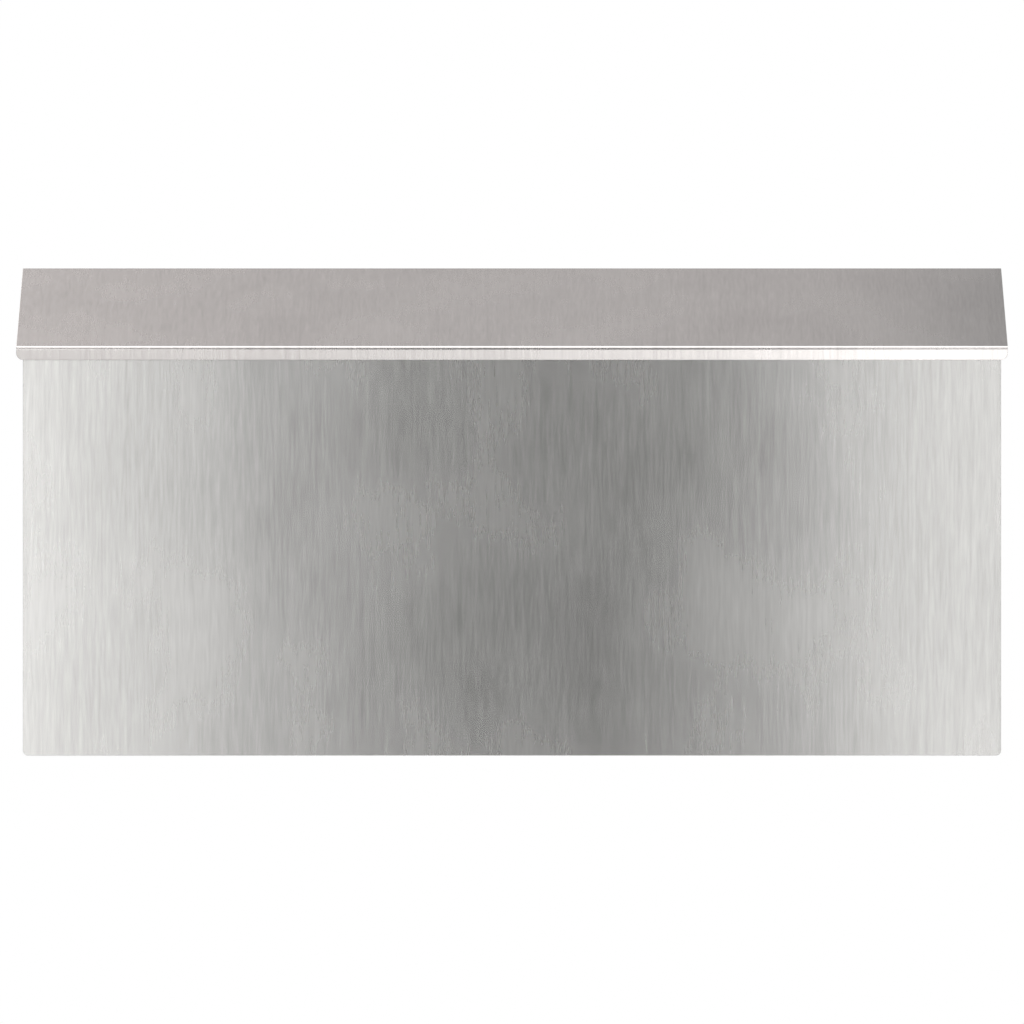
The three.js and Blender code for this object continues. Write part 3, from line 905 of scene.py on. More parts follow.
def sheet_shell(blank: Blank, folding: Folding) -> Shell:
    """Folds a blank into a closed sheet with broken edges.

    Both faces are the blank's triangles, w = thickness / 2 and -thickness / 2 above its middle. At
    an edge they stop one edge break short, along the vector m = 2 S / |S|^2, with S the sum of the
    outward normals of the two edges that meet. A quarter round, a straight wall and a quarter round
    join them. Normals are the fold's own, so that a flat stays flat to its edge.

    Args:
        blank: the flat sheet.
        folding: how it is folded.

    Returns:
        The closed mesh, mm.
    """
    flat, faces = blank.mesh(folding)
    count = len(flat)
    half = blank.thickness / 2

    # The directed edges that only one triangle has, each with the sheet on its left.
    sides = np.concatenate([faces[:, [0, 1]], faces[:, [1, 2]], faces[:, [2, 0]]])
    known = np.isin(sides[:, 0] * count + sides[:, 1], sides[:, 1] * count + sides[:, 0])
    border = sides[~known]
    run = flat[border[:, 1]] - flat[border[:, 0]]
    outward = np.column_stack([run[:, 1], -run[:, 0]]) / np.hypot(*run.T)[:, None]
    total = np.zeros((count, 2))
    np.add.at(total, border[:, 0], outward)
    np.add.at(total, border[:, 1], outward)
    square = (total**2).sum(1)
    miter = np.where(square[:, None] > 0, 2 * total / np.where(square > 0, square, 1)[:, None], 0)

    # The rim's rows, from one face to the other: how far inside the edge, how high, and which way
    # it looks (0 up, pi / 2 outwards).
    swing = np.linspace(0, np.pi / 2, 3)
    inset = blank.edge_break * (1 - np.sin(swing))
    height = half - blank.edge_break * (1 - np.cos(swing))
    inset, height = np.append(inset, inset[::-1]), np.append(height, -height[::-1])
    look = np.append(swing, np.pi - swing[::-1])
    stretch = np.append(0, np.cumsum(np.hypot(np.diff(inset), np.diff(height))))

    sign = np.array([Face.RIGHT.value, Face.LEFT.value])
    level_face = (0 * square, 0 * flat)
    dished = [blank.dish(flat) if blank.weld_face.value == s else level_face for s in sign]
    rim = np.unique(border)
    order = np.zeros(count, int)
    order[rim] = np.arange(len(rim))
    lines = [flat - blank.edge_break * miter] * 2
    levels = [sign[i] * (half - dished[i][0]) for i in (0, 1)]
    for inner, level in zip(inset[1:-1], height[1:-1], strict=True):
        lines.append(flat[rim] - inner * miter[rim])
        levels.append(np.full(len(rim), level))
    spot, level = np.concatenate(lines), np.concatenate(levels)
    points = folding.place(spot[:, 0], spot[:, 1], level)

    along_u, along_v, up = derivatives(folding, flat)
    triangles, normals, sheet, cut = [], [], [], []
    for i, turned in enumerate((faces, faces[:, ::-1])):
        slope = dished[i][1]
        normal = sign[i] * up + slope[:, :1] * along_u + slope[:, 1:] * along_v
        triangles.append(turned + i * count)
        normals.append(normal[turned])
        sheet.append(lines[0][turned])
        cut.append(np.zeros(len(turned)))

    # Where the outline turns gently the rim is smooth along it, and elsewhere it is sharp. The sum
    # of two unit normals with an angle t between them has the square 2 + 2 cos t.
    mean = total / np.maximum(np.sqrt(square), 1e-9)[:, None]
    gentle = (square > 2 + 2 * math.cos(OUTLINE_CREASE))[:, None]
    ways = [np.where(gentle, mean, 0)[border[:, end]] for end in (0, 1)]
    ways = [np.where((way**2).sum(1)[:, None] > 0, way, outward) for way in ways]
    last = len(look) - 1

    def row(k: int, end: int) -> tuple[np.ndarray, np.ndarray, np.ndarray]:
        """What belongs to one row of the rim at one end of each edge.

        Args:
            k: number of the row.
            end: 0 for the first end of the edges and 1 for the second.

        Returns:
            Point numbers, normals and flat places.
        """
        at = border[:, end]
        place = 2 * count + (k - 1) * len(rim) + order[at]
        number = at if k == 0 else at + count if k == last else place
        out = ways[end][:, :1] * along_u[at] + ways[end][:, 1:] * along_v[at]
        out /= np.sqrt((out**2).sum(1))[:, None]
        normal = np.cos(look[k]) * up[at] + np.sin(look[k]) * out
        return number, normal, flat[at] + (stretch[k] - blank.edge_break) * miter[at]

    for k in range(last):
        corners = [row(k, 0), row(k + 1, 0), row(k + 1, 1), row(k, 1)]
        for pick in ((0, 1, 2), (0, 2, 3)):
            triangles.append(np.stack([corners[c][0] for c in pick], 1))
            normals.append(np.stack([corners[c][1] for c in pick], 1))
            sheet.append(np.stack([corners[c][2] for c in pick], 1))
            cut.append(np.ones(len(border)))
    warmth = blank.heat(flat)
    heat = np.concatenate([warmth, warmth] + [warmth[rim]] * (last - 1))
    return Shell(
        points,
        np.concatenate(triangles),
        np.concatenate(normals),
        np.concatenate(sheet),
        np.concatenate(cut),
        heat,
    )


def outward_order(points: np.ndarray, triangles: np.ndarray) -> int:
    """Returns 1 if the triangles face outwards and -1 if the closed surface is inside out."""
    a, b, c = (points[triangles[:, i]] for i in range(3))
    return 1 if (a * np.cross(b, c)).sum() > 0 else -1


def link(name: str, mesh: bpy.types.Mesh, finish: bpy.types.Material) -> bpy.types.Object:
    """Makes an object of a mesh, at the origin.

    Args:
        name: the object's name.
        mesh: its mesh.
        finish: its material.

    Returns:
        The object.
    """
    mesh.materials.append(finish)
    piece = bpy.data.objects.new(name, mesh)
    bpy.context.scene.collection.objects.link(piece)
    return piece


def make_sheet(
    name: str, blank: Blank, folding: Folding, finish: bpy.types.Material, grain: Grain, batch: int
) -> bpy.types.Object:
    """Makes a folded sheet an object.

    Its UV map "sheet" holds the flat places in metres, turned so that V runs along the grain, and
    moved by the batch number so that no two sheets share their streaks.

    Args:
        name: the piece's name.
        blank: the flat sheet.
        folding: how it is folded.
        finish: its material.
        grain: which way the grain runs.
        batch: number of the stock sheet it is cut from.

    Returns:
        The object.
    """
    shell = sheet_shell(blank, folding)
    turn = outward_order(shell.points, shell.triangles)
    mesh = bpy.data.meshes.new(name)
    mesh.from_pydata((shell.points * MM).tolist(), [], shell.triangles[:, ::turn].tolist())
    flat = shell.flat[:, ::turn].reshape(-1, 2) * MM
    along = flat if grain is Grain.ALONG_V else flat[:, ::-1]
    uv = along + np.array(BATCH_SHIFT) * batch
    mesh.uv_layers.new(name=FLAT_MAP).data.foreach_set("uv", uv.astype(np.float32).ravel())
    cut = mesh.attributes.new(CUT_EDGE, "FLOAT", "FACE")
    cut.data.foreach_set("value", shell.cut_edge.astype(np.float32))
    heat = mesh.attributes.new(HEAT, "FLOAT", "POINT")
    heat.data.foreach_set("value", shell.heat.astype(np.float32))
    mesh.shade_smooth()
    normals = shell.normals[:, ::turn].reshape(-1, 3)
    normals = normals / np.sqrt((normals**2).sum(1))[:, None]
    mesh.normals_split_custom_set(normals.tolist())
    return link(name, mesh, finish)


def revolve(
    name: str,
    profile: np.ndarray,
    origin: Sequence[float],
    axis: Sequence[float],
    finish: bpy.types.Material,
    sides: int = 48,
) -> bpy.types.Object:
    """Turns a profile round an axis.

    With r and h a profile point's radius and height, and e and f unit vectors square to the axis a,
    a point of the surface is origin + h a + r (cos t e + sin t f). The profile's two ends lie on
    the axis, where the surface is closed by triangles.

    Args:
        name: the piece's name.
        profile: radius and height of each point, one row each, mm.
        origin: where height 0 lies, mm.
        axis: the axis, of any length.
        finish: its material.
        sides: points round the axis.

    Returns:
        The object.
    """
    a = np.array(Vector(axis).normalized())
    e = np.array(Vector(axis).orthogonal().normalized())
    f = np.cross(a, e)
    angle = np.linspace(0, 2 * np.pi, sides, endpoint=False)
    round_way = np.cos(angle)[:, None] * e + np.sin(angle)[:, None] * f
    body = profile[1:-1]
    grid = body[:, 1, None, None] * a + body[:, 0, None, None] * round_way
    poles = profile[[0, -1], 1, None] * a
    points = np.array(origin) + np.concatenate([grid.reshape(-1, 3), poles])
    rows = len(body)
    here = np.arange(sides)
    beside = np.roll(here, -1)
    step = np.arange(rows - 1)[:, None] * sides
    quads = np.stack(
        [here + step, beside + step, beside + step + sides, here + step + sides], -1
    ).reshape(-1, 4)
    first = np.stack([np.full(sides, rows * sides), beside, here], -1)
    top = (rows - 1) * sides
    final = np.stack([np.full(sides, rows * sides + 1), here + top, beside + top], -1)
    fan = np.concatenate([first, final])
    halves = np.concatenate([quads[:, :3], quads[:, [0, 2, 3]], fan])
    turn = outward_order(points, halves)
    mesh = bpy.data.meshes.new(name)
    polygons = quads[:, ::turn].tolist() + fan[:, ::turn].tolist()
    mesh.from_pydata((points * MM).tolist(), [], polygons)
    mesh.shade_smooth()
    mesh.set_sharp_from_angle(angle=TURNED_CREASE)
    return link(name, mesh, finish)


def arc(radius: float, height: float, reach: float, rise: float, steps: int = 10) -> np.ndarray:
    """A quarter of an oval: (radius + reach cos t, height + rise sin t), for t from 0 to pi / 2."""
    t = np.linspace(0, np.pi / 2, steps + 1)
    return np.column_stack([radius + reach * np.cos(t), height + rise * np.sin(t)])


def install(piece: bpy.types.Object, body: Body, node: str) -> None:
    """Puts a piece on its body in place of a CAD node, and reports it.

    Args:
        piece: the piece.
        body: the body it rides on.
        node: the CAD node it stands for.
    """
    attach(piece, body.value)
    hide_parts(node)
    LOG.info("%s stands for %s, %d faces", piece.name, node, len(piece.data.polygons))


# ---- The mailbox ----
def evenly(count: int, pitch: float) -> np.ndarray:
    """Places of `count` pieces at an even pitch, centred on the mailbox."""
    return (np.arange(count) - (count - 1) / 2) * pitch


def pairs(first: Sequence[float], second: Sequence[float]) -> np.ndarray:
    """Every pair of a first and a second value, one row each."""
    return np.stack(np.meshgrid(first, second), -1).reshape(-1, 2)


@dataclass(frozen=True)
class Stock:
    """The sheet that every panel is made from, mm."""

    sheet: float = 0.8
    bend: float = 1.2  # inside radius of a fold
    lap: float = 0.1  # air between two sheets that lie on each other
    slide: float = 0.3  # air between a folded edge and the side panel beside it

    @property
    def relief(self) -> float:
        """Size of the corner notch that lets two folds meet."""
        return self.bend + self.sheet + self.lap


@dataclass(frozen=True)
class Plan:
    """The places that several parts share, in the side view (Y, Z), mm."""

    half_body: float
    front: float
    bottom: float
    top: float
    half_lid: float
    axis: tuple[float, float]
    rise: float = 31.3  # of the lid, from its front fold to its rear edge
    overhang: float = 3.5  # of the lid in front of the box
    lip: float = 5.3  # of the lid, below its fold
    wall_gap: float = 3.0  # behind the lid
    front_flange: float = 10.0
    barrel: float = 2.0  # outer radius of the hinge knuckles
    rivets: int = 7
    rivet_pitch: float = 50.0
    rivet_row: float = 8.5  # from the hinge axis, down the slope
    rivet_hole: float = 1.8  # radius

    @classmethod
    def from_frame(cls) -> "Plan":
        """Reads the places off the CAD frame.

        Returns:
            The plan.
        """
        front_low, front_high = (np.array(corner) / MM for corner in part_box("front_panel"))
        lid_high = np.array(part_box("lid_panel")[1]) / MM
        hinge = np.array(frame["joints"][0]["pos_m"]) / MM
        return cls(
            half_body=float(front_high[0]),
            front=float(front_low[1]),
            bottom=float(front_low[2]),
            top=float(lid_high[2]),
            half_lid=float(lid_high[0]),
            axis=(float(hinge[1]), float(hinge[2])),
        )

    @property
    def lid_rear(self) -> np.ndarray:
        """The lid's rear upper edge."""
        return np.array([-self.wall_gap, self.top])

    @property
    def lid_fold(self) -> np.ndarray:
        """The corner of the lid's front fold."""
        return np.array([self.front - self.overhang, self.top - self.rise])

    @property
    def down(self) -> np.ndarray:
        """Unit vector down the lid."""
        run = self.lid_fold - self.lid_rear
        return run / np.hypot(*run)

    @property
    def off(self) -> np.ndarray:
        """Unit vector square to the lid, upwards."""
        return np.array([self.down[1], -self.down[0]])

    @property
    def rivet_places(self) -> np.ndarray:
        """Where the hinge rivets are across the mailbox."""
        return evenly(self.rivets, self.rivet_pitch)

    def point(self, along: float, above: float) -> np.ndarray:
        """The point `along` down the slope from the hinge axis and `above` it."""
        return np.array(self.axis) + along * self.down + above * self.off

    def at_depth(self, y: float, above: float) -> np.ndarray:
        """The point at depth y on the sloping line `above` the hinge axis."""
        start = self.point(0, above)
        return start + self.down * (y - start[0]) / self.down[0]


@dataclass
class Housing:
    """The open-topped box: back, front, two sides and bottom, lapped and spot welded.

    All sizes are in mm. The panels are brushed up and down.
    """

    plan: Plan
    stock: Stock
    corner: float = 2.0
    notch_above: float = 0.6
    ledge: float = 20.0
    ledge_return: float = 5.5
    flange_return: float = 6.0
    flange_level: float = 0.4  # above the hinge axis, square to the lid
    ledge_level: float = -2.1
    side_level: float = 0.9
    side_flange: float = 11.0
    side_foot: float = 12.0
    floor_flange: float = 10.0
    cut_corner: float = 0.5
    screw_radius: float = 3.25
    screw_x: float = 141.0
    screw_heights: tuple[float, float] = (-60.0, 40.0)
    drain_radius: float = 2.5
    drain_x: tuple[float, ...] = (-120.0, 0.0, 120.0)
    welds: int = 5  # in an upright row
    weld_pitch: float = 38.0
    weld_shift: float = 4.0  # from the mailbox's middle height to the middle of such a row
    weld_margin: float = 8.0  # least distance from the end of a flange
    floor_welds: int = 6
    floor_weld_pitch: float = 60.0
    floor_weld_level: float = 5.5  # above the bottom edge
    floor_weld_inset: float = 4.5  # from the edge of the bottom's flange
    foot_welds: int = 4
    foot_weld_pitch: float = 24.0
    foot_weld_inset: float = 1.0  # nearer the middle than the upright rows

    def __post_init__(self) -> None:
        """Works out the places that the panels share, and makes the finish."""
        self.inside_front = self.plan.front + self.stock.sheet + self.stock.lap
        self.inside_back = -self.stock.sheet - self.stock.lap
        self.narrow = self.plan.half_body - self.stock.sheet - self.stock.slide
        self.front_flange_end = float(self.plan.lid_fold[1]) - self.plan.lip
        self.back_flange_end = self.plan.axis[1] - self.stock.bend - self.stock.sheet - 3
        self.weld_x = self.plan.half_body - self.side_flange / 2
        self.finish = BrushedStainless("body_brushed_upright").material()

    def plate(self, foot: float, notch: float, end: float) -> np.ndarray:
        """The outline of a front or back panel's blank.

        Args:
            foot: where its bottom edge is along the section, mm.
            notch: where it steps in, to pass between the side panels, mm.
            end: where the folded part ends, mm.

        Returns:
            The outline.
        """
        wide, narrow = self.plan.half_body, self.narrow
        return rounded(
            [
                (-wide, foot, self.corner),
                (-wide, notch, 0),
                (-narrow, notch, 0),
                (-narrow, end, self.cut_corner),
                (narrow, end, self.cut_corner),
                (narrow, notch, 0),
                (wide, notch, 0),
                (wide, foot, self.corner),
            ]
        )

    def sheet(self, name: str, node: str, blank: Blank, folding: Folding, batch: int) -> None:
        """Makes one panel and installs it.

        Args:
            name: the piece's name.
            node: the CAD node it stands for.
            blank: the flat sheet.
            folding: how it is folded.
            batch: number of the stock sheet it is cut from.
        """
        piece = make_sheet(name, blank, folding, self.finish, Grain.ALONG_V, batch)
        install(piece, Body.HOUSING, node)

    def front(self) -> None:
        """The flat front, whose top edge folds back as a flange under the lid."""
        top = self.plan.at_depth(self.plan.front, self.flange_level)
        edge = top - self.plan.front_flange * self.plan.down
        back = edge - self.flange_return * self.plan.off
        corners = [back, edge, top, (self.plan.front, self.plan.bottom)]
        path = SectionPath.from_corners(corners, self.stock.bend, self.stock.sheet)
        notch = path.length - (self.front_flange_end + self.notch_above - self.plan.bottom)
        blank = Blank(self.stock.sheet, [self.plate(path.length, notch, 0.0)])
        fold = FoldAcross(path, self.plan.half_body)
        self.sheet("front_sheet", "front_panel", blank, fold, batch=1)

    def back(self) -> None:
        """The back, which folds forward as the hinge's ledge, with wall screw holes."""
        top = self.plan.at_depth(0.0, self.ledge_level)
        edge = top + self.ledge * self.plan.down
        end = edge - self.ledge_return * self.plan.off
        corners = [(0.0, self.plan.bottom), top, edge, end]
        path = SectionPath.from_corners(corners, self.stock.bend, self.stock.sheet)
        notch = self.back_flange_end + self.notch_above - self.plan.bottom
        screw_rows = np.array(self.screw_heights) - self.plan.bottom
        behind_axis = float((np.array(self.plan.axis) - top) @ self.plan.down)
        row = path.past(1, behind_axis + self.plan.rivet_row)
        screws = pairs((-self.screw_x, self.screw_x), screw_rows)
        holes = [circle(*place, self.screw_radius) for place in screws]
        holes += [circle(x, row, self.plan.rivet_hole) for x in self.plan.rivet_places]
        weld_rows = evenly(self.welds, self.weld_pitch) - self.plan.bottom - self.weld_shift
        uprights = pairs((-self.weld_x, self.weld_x), weld_rows)
        floor = pairs(evenly(self.floor_welds, self.floor_weld_pitch), [self.floor_weld_level])
        blank = Blank(
            self.stock.sheet,
            [self.plate(0.0, notch, path.length), *holes],
            np.concatenate([uprights, floor]),
            Face.RIGHT,
        )
        fold = FoldAcross(path, self.plan.half_body)
        self.sheet("back_sheet", "back_panel", blank, fold, batch=2)

    def side(self, side: int) -> None:
        """A side plate with flanges behind the front and before the back, and a foot below.

        Args:
            side: 1 for the right one and -1 for the left one.
        """
        wide, top, bottom = self.plan.half_body, self.plan.top, self.plan.bottom
        front, back = self.inside_front, self.inside_back
        flange_x = wide - self.side_flange
        wrap = SectionPath.from_corners(
            [(flange_x, front), (wide, front), (wide, back), (flange_x, back)],
            self.stock.bend,
            self.stock.sheet,
        )
        foot = SectionPath.from_corners(
            [(top, wide), (bottom, wide), (bottom, wide - self.side_foot)],
            self.stock.bend,
            self.stock.sheet,
        )
        front_edge, back_edge = front + self.stock.relief, back - self.stock.relief
        first, second = wrap.past(1, self.stock.relief), wrap.past(1, back_edge - front)
        foot_edge = top - (bottom + self.stock.relief)
        top_front = top - self.plan.at_depth(front_edge, self.side_level)[1]
        top_back = top - self.plan.at_depth(back_edge, self.side_level)[1]
        front_end, back_end = top - self.front_flange_end, top - self.back_flange_end
        cut = self.cut_corner
        outline = rounded(
            [
                (0.0, front_end, cut),
                (0.0, foot_edge, cut),
                (first, foot_edge, 0),
                (first, foot.length, cut),
                (second, foot.length, cut),
                (second, foot_edge, 0),
                (wrap.length, foot_edge, cut),
                (wrap.length, back_end, cut),
                (second, back_end, 0),
                (second, top_back, 0),
                (first, top_front, 0),
                (first, front_end, 0),
            ]
        )
        middle = self.side_flange / 2
        weld_rows = top - self.weld_shift + evenly(self.welds, self.weld_pitch)
        welds = [
            pairs([middle], weld_rows[weld_rows > front_end + self.weld_margin]),
            pairs([wrap.length - middle], weld_rows),
        ]
        blank = Blank(self.stock.sheet, [outline], np.concatenate(welds), Face.LEFT)
        fold = FoldTwoWays(wrap, foot, wide - self.stock.sheet / 2, side)
        word = "right" if side > 0 else "left"
        self.sheet(f"{word}_side_sheet", f"{word}_side_panel", blank, fold, batch=4 + side)

    def floor(self) -> None:
        """The bottom tray, which rests on the sides' feet, with drain holes."""
        under = self.plan.bottom + self.stock.sheet + self.stock.lap
        front, back, rise = self.inside_front, self.inside_back, under + self.floor_flange
        path = SectionPath.from_corners(
            [(front, rise), (front, under), (back, under), (back, rise)],
            self.stock.bend,
            self.stock.sheet,
        )
        half_floor = self.plan.half_body - self.stock.bend - self.stock.sheet - self.stock.slide
        half_flange = self.plan.half_body - self.side_flange - self.stock.bend
        step = path.past(1, self.stock.relief)
        far = path.length - step
        cut = self.cut_corner
        outline = rounded(
            [
                (-half_flange, 0.0, cut),
                (half_flange, 0.0, cut),
                (half_flange, step, 0),
                (half_floor, step, cut),
                (half_floor, far, cut),
                (half_flange, far, 0),
                (half_flange, path.length, cut),
                (-half_flange, path.length, cut),
                (-half_flange, far, 0),
                (-half_floor, far, cut),
                (-half_floor, step, cut),
                (-half_flange, step, 0),
            ]
        )
        row = path.past(1, self.plan.front / 2 - front)
        drains = [circle(x, row, self.drain_radius) for x in self.drain_x]
        flange_rows = [self.floor_weld_inset, path.length - self.floor_weld_inset]
        flanges = pairs(evenly(self.floor_welds, self.floor_weld_pitch), flange_rows)
        foot_x = self.weld_x - self.foot_weld_inset
        feet = pairs((-foot_x, foot_x), row + evenly(self.foot_welds, self.foot_weld_pitch))
        blank = Blank(
            self.stock.sheet, [outline, *drains], np.concatenate([flanges, feet]), Face.LEFT
        )
        self.sheet("floor_sheet", "bottom_panel", blank, FoldAcross(path, half_floor), batch=6)

    def build(self) -> None:
        """Makes all five panels."""
        self.back()
        self.side(-1)
        self.side(1)
        self.floor()
        self.front()


@dataclass
class PianoHinge:
    """The full length hinge: two leaves rolled round a pin, one of them riveted to the ledge.

    All sizes are in mm.
    """

    plan: Plan
    stock: Stock
    leaf_width: float = 14.0
    leaf_notch: float = 2.3
    leaf_corner: float = 0.5
    knuckle_corner: float = 0.3
    knuckles: int = 14
    pitch: float = 25.0
    gap: float = 0.4
    curl: float = math.radians(295)
    pin_radius: float = 1.1
    pin_proud: float = 1.0
    pin_chamfer: float = 0.25
    shank: float = 1.6  # radius of a rivet's shank
    rivet_head: float = 3.0  # radius
    rivet_rise: float = 0.9  # height of the head
    rivet_tail: float = 2.3  # radius of the bulge

    def __post_init__(self) -> None:
        """Makes the finishes."""
        self.half = (self.knuckles * self.pitch - self.gap) / 2
        self.strip_finish = RolledStrip().material()
        self.wire_finish = DrawnWire().material()
        self.rivet_finish = PressedRivet().material()

    def leaf(self, name: str, node: str, body: Body, side: int, batch: int) -> None:
        """A leaf: its strip runs up the slope to the axis and its own knuckles curl round the pin.

        Args:
            name: the piece's name.
            node: the CAD node it stands for.
            body: the body it rides on.
            side: 1 for the leaf above the axis and -1 for the one below it.
            batch: number of the stock strip.
        """
        middle = self.plan.barrel - self.stock.sheet / 2
        path = SectionPath(
            tuple(self.plan.point(self.leaf_width, side * middle)),
            math.atan2(-self.plan.down[1], -self.plan.down[0]),
            (self.leaf_width, middle * self.curl),
            (0.0, -side * self.curl),
        )
        own = evenly(self.knuckles, self.pitch)[(1 if side > 0 else 0) :: 2]
        half = (self.pitch - self.gap) / 2
        strip = self.leaf_width - self.leaf_notch
        tabs = [
            corner
            for x in own
            for corner in (
                (x - half, strip, 0),
                (x - half, path.length, self.knuckle_corner),
                (x + half, path.length, self.knuckle_corner),
                (x + half, strip, 0),
            )
        ]
        # One end knuckle is flush with the strip's end, where the outline goes straight on.
        tabs = [c for c in tabs if not (c[1] == strip and abs(abs(c[0]) - self.half) < 1e-6)]
        ends = [(self.half, 0.0, self.leaf_corner), (-self.half, 0.0, self.leaf_corner)]
        if side > 0:
            ends.append((-self.half, strip, 0))
        else:
            ends.insert(0, (self.half, strip, 0))
        outline = rounded(tabs + ends)
        row = self.leaf_width - self.plan.rivet_row
        places = self.plan.rivet_places
        holes = [] if side > 0 else [circle(x, row, self.plan.rivet_hole) for x in places]
        welds = pairs(places, [row]) if side > 0 else np.zeros((0, 2))
        blank = Blank(
            self.stock.sheet, [outline, *holes], welds, Face.RIGHT, edge_break=0.08
        )
        fold = FoldAcross(path, self.half)
        piece = make_sheet(name, blank, fold, self.strip_finish, Grain.ALONG_U, batch)
        install(piece, body, node)

    def pin(self) -> None:
        """The pin, with chamfered ends."""
        end, chamfer = self.half + self.pin_proud, self.pin_chamfer
        reach = np.linspace(-end + chamfer, end - chamfer, 57)
        side = np.column_stack([np.full(len(reach), self.pin_radius), reach])
        small = self.pin_radius - chamfer
        profile = np.concatenate([[[0, -end], [small, -end]], side, [[small, end], [0, end]]])
        piece = revolve("pin_wire", profile, (0, *self.plan.axis), (1, 0, 0), self.wire_finish, 40)
        install(piece, Body.HOUSING, "hinge_pin")

    def rivet(self, number: int, x: float) -> None:
        """A set blind rivet: a domed head with the mandrel's end in its hole, and a bulged tail.

        The bulge and the crown are quarters of ovals. Between them run the mandrel's cropped end,
        the shank, the head's rim and the dimple where the mandrel broke off.

        Args:
            number: its number, from 1 on the left.
            x: its place across the mailbox, mm.
        """
        head, rise, tail = self.rivet_head, self.rivet_rise, self.rivet_tail
        under = self.stock.sheet + 1.5 * self.stock.lap
        bulge = arc(1.2, -under - 0.75, tail - 1.2, 0.75)
        lower = arc(1.2, -under - 0.75, tail - 1.2, -0.55)[::-1]
        crown = arc(1.15, under + 0.12, head - 1.15, rise - 0.12)
        profile = np.concatenate(
            [
                [[0, -under - 1.5], [0.75, -under - 1.5]],
                [[0.85, -under - 1.4], [0.85, -under - 1.32]],
                lower,
                bulge[1:],
                [[self.shank, -under], [self.shank, under]],
                [[head - 0.1, under], [head, under + 0.06]],
                crown,
                [[1.02, under + rise - 0.05], [0.98, under + 0.5], [0.85, under + 0.42]],
                [[0.5, under + 0.47], [0, under + 0.5]],
            ]
        )
        place = self.plan.point(self.plan.rivet_row, -self.plan.barrel - self.stock.lap / 2)
        axis = (0, *self.plan.off)
        piece = revolve(f"rivet_{number}", profile, (x, *place), axis, self.rivet_finish)
        install(piece, Body.HOUSING, f"hinge_rivet_{number}")

    def build(self) -> None:
        """Makes the leaves, the pin and the rivets."""
        self.leaf("fixed_leaf", "hinge_fixed_leaf", Body.HOUSING, -1, 7)
        self.leaf("lid_leaf", "hinge_lid_leaf", Body.LID, 1, 8)
        self.pin()
        for number, x in enumerate(self.plan.rivet_places, 1):
            self.rivet(number, float(x))


@dataclass
class Lid:
    """The sloping lid, brushed from front to back, with a short lip folded down at its front."""

    plan: Plan
    stock: Stock
    bend: float = 0.5
    rear_corner: float = 0.4
    lip_corner: float = 2.6

    def __post_init__(self) -> None:
        """Makes the finish, painted a little warmer and lighter than the body's: a painted
        reflection of the faint pink that the lid mirrors.
        """
        # the lid's colours are the body's steel, painted warmer and lighter as a painted reflection
        # of the pink it mirrors
        self.finish = BrushedStainless(
            "lid_brushed_front_to_back", bright="#cecac8", dull="#b0acaa", edge="#d8d6d4"
        ).material()

    def build(self) -> None:
        """Makes the lid."""
        end = self.plan.lid_fold - self.plan.lip * self.plan.off
        corners = [self.plan.lid_rear, self.plan.lid_fold, end]
        path = SectionPath.from_corners(corners, self.bend, self.stock.sheet)
        half = self.plan.half_lid
        outline = rounded(
            [
                (-half, 0.0, self.rear_corner),
                (half, 0.0, self.rear_corner),
                (half, path.length, self.lip_corner),
                (-half, path.length, self.lip_corner),
            ]
        )
        blank = Blank(self.stock.sheet, [outline])
        fold = FoldAcross(path, half)
        piece = make_sheet("lid_sheet", blank, fold, self.finish, Grain.ALONG_V, batch=9)
        install(piece, Body.LID, "lid_panel")


@dataclass
class Bumpers:
    """Clear stick-on domes on the front flange, which the shut lid rests on.

    All sizes are in mm.
    """

    plan: Plan
    stock: Stock
    count: int = 4
    pitch: float = 105.0
    radius: float = 4.0
    height: float = 1.5
    level: float = 0.5  # of their foot above the hinge axis, square to the lid

    def build(self) -> None:
        """Makes the bumpers."""
        finish = ClearPolyurethane().material()
        edge = self.plan.at_depth(self.plan.front, self.level)
        place = edge - self.plan.front_flange / 2 * self.plan.down
        rim = self.height / 3
        base = [[0, 0], [self.radius - 0.1, 0], [self.radius, 0.08]]
        profile = np.concatenate([base, arc(0, rim, self.radius, self.height - rim, 14)])
        profile[-1, 0] = 0
        for number, x in enumerate(evenly(self.count, self.pitch), 1):
            piece = revolve(f"bumper_{number}", profile, (x, *place), (0, *self.plan.off), finish)
            install(piece, Body.HOUSING, f"lid_bumper_{number}")


# ---- Studio ----
@dataclass(frozen=True)
class Panel:
    """A soft rectangular light: where it is, what it faces, its size in metres and its brightness.

    `radiance` is what a mirror would show, so its power is pi * width * height * radiance.
    """

    name: str
    place: tuple[float, float, float]
    target: tuple[float, float, float]
    size: tuple[float, float]
    radiance: float
    tint: str = "#ffffff"

    def build(self) -> None:
        """Makes the light."""
        light = bpy.data.lights.new(self.name, "AREA")
        light.shape = "RECTANGLE"
        light.size, light.size_y = self.size
        light.energy = math.pi * self.size[0] * self.size[1] * self.radiance
        light.color = linear(self.tint)[:3]
        lamp = bpy.data.objects.new(self.name, light)
        lamp.location = self.place
        way = Vector(self.target) - Vector(self.place)
        lamp.rotation_euler = way.to_track_quat("-Z", "Y").to_euler()
        lamp.visible_camera = False
        bpy.context.scene.collection.objects.link(lamp)


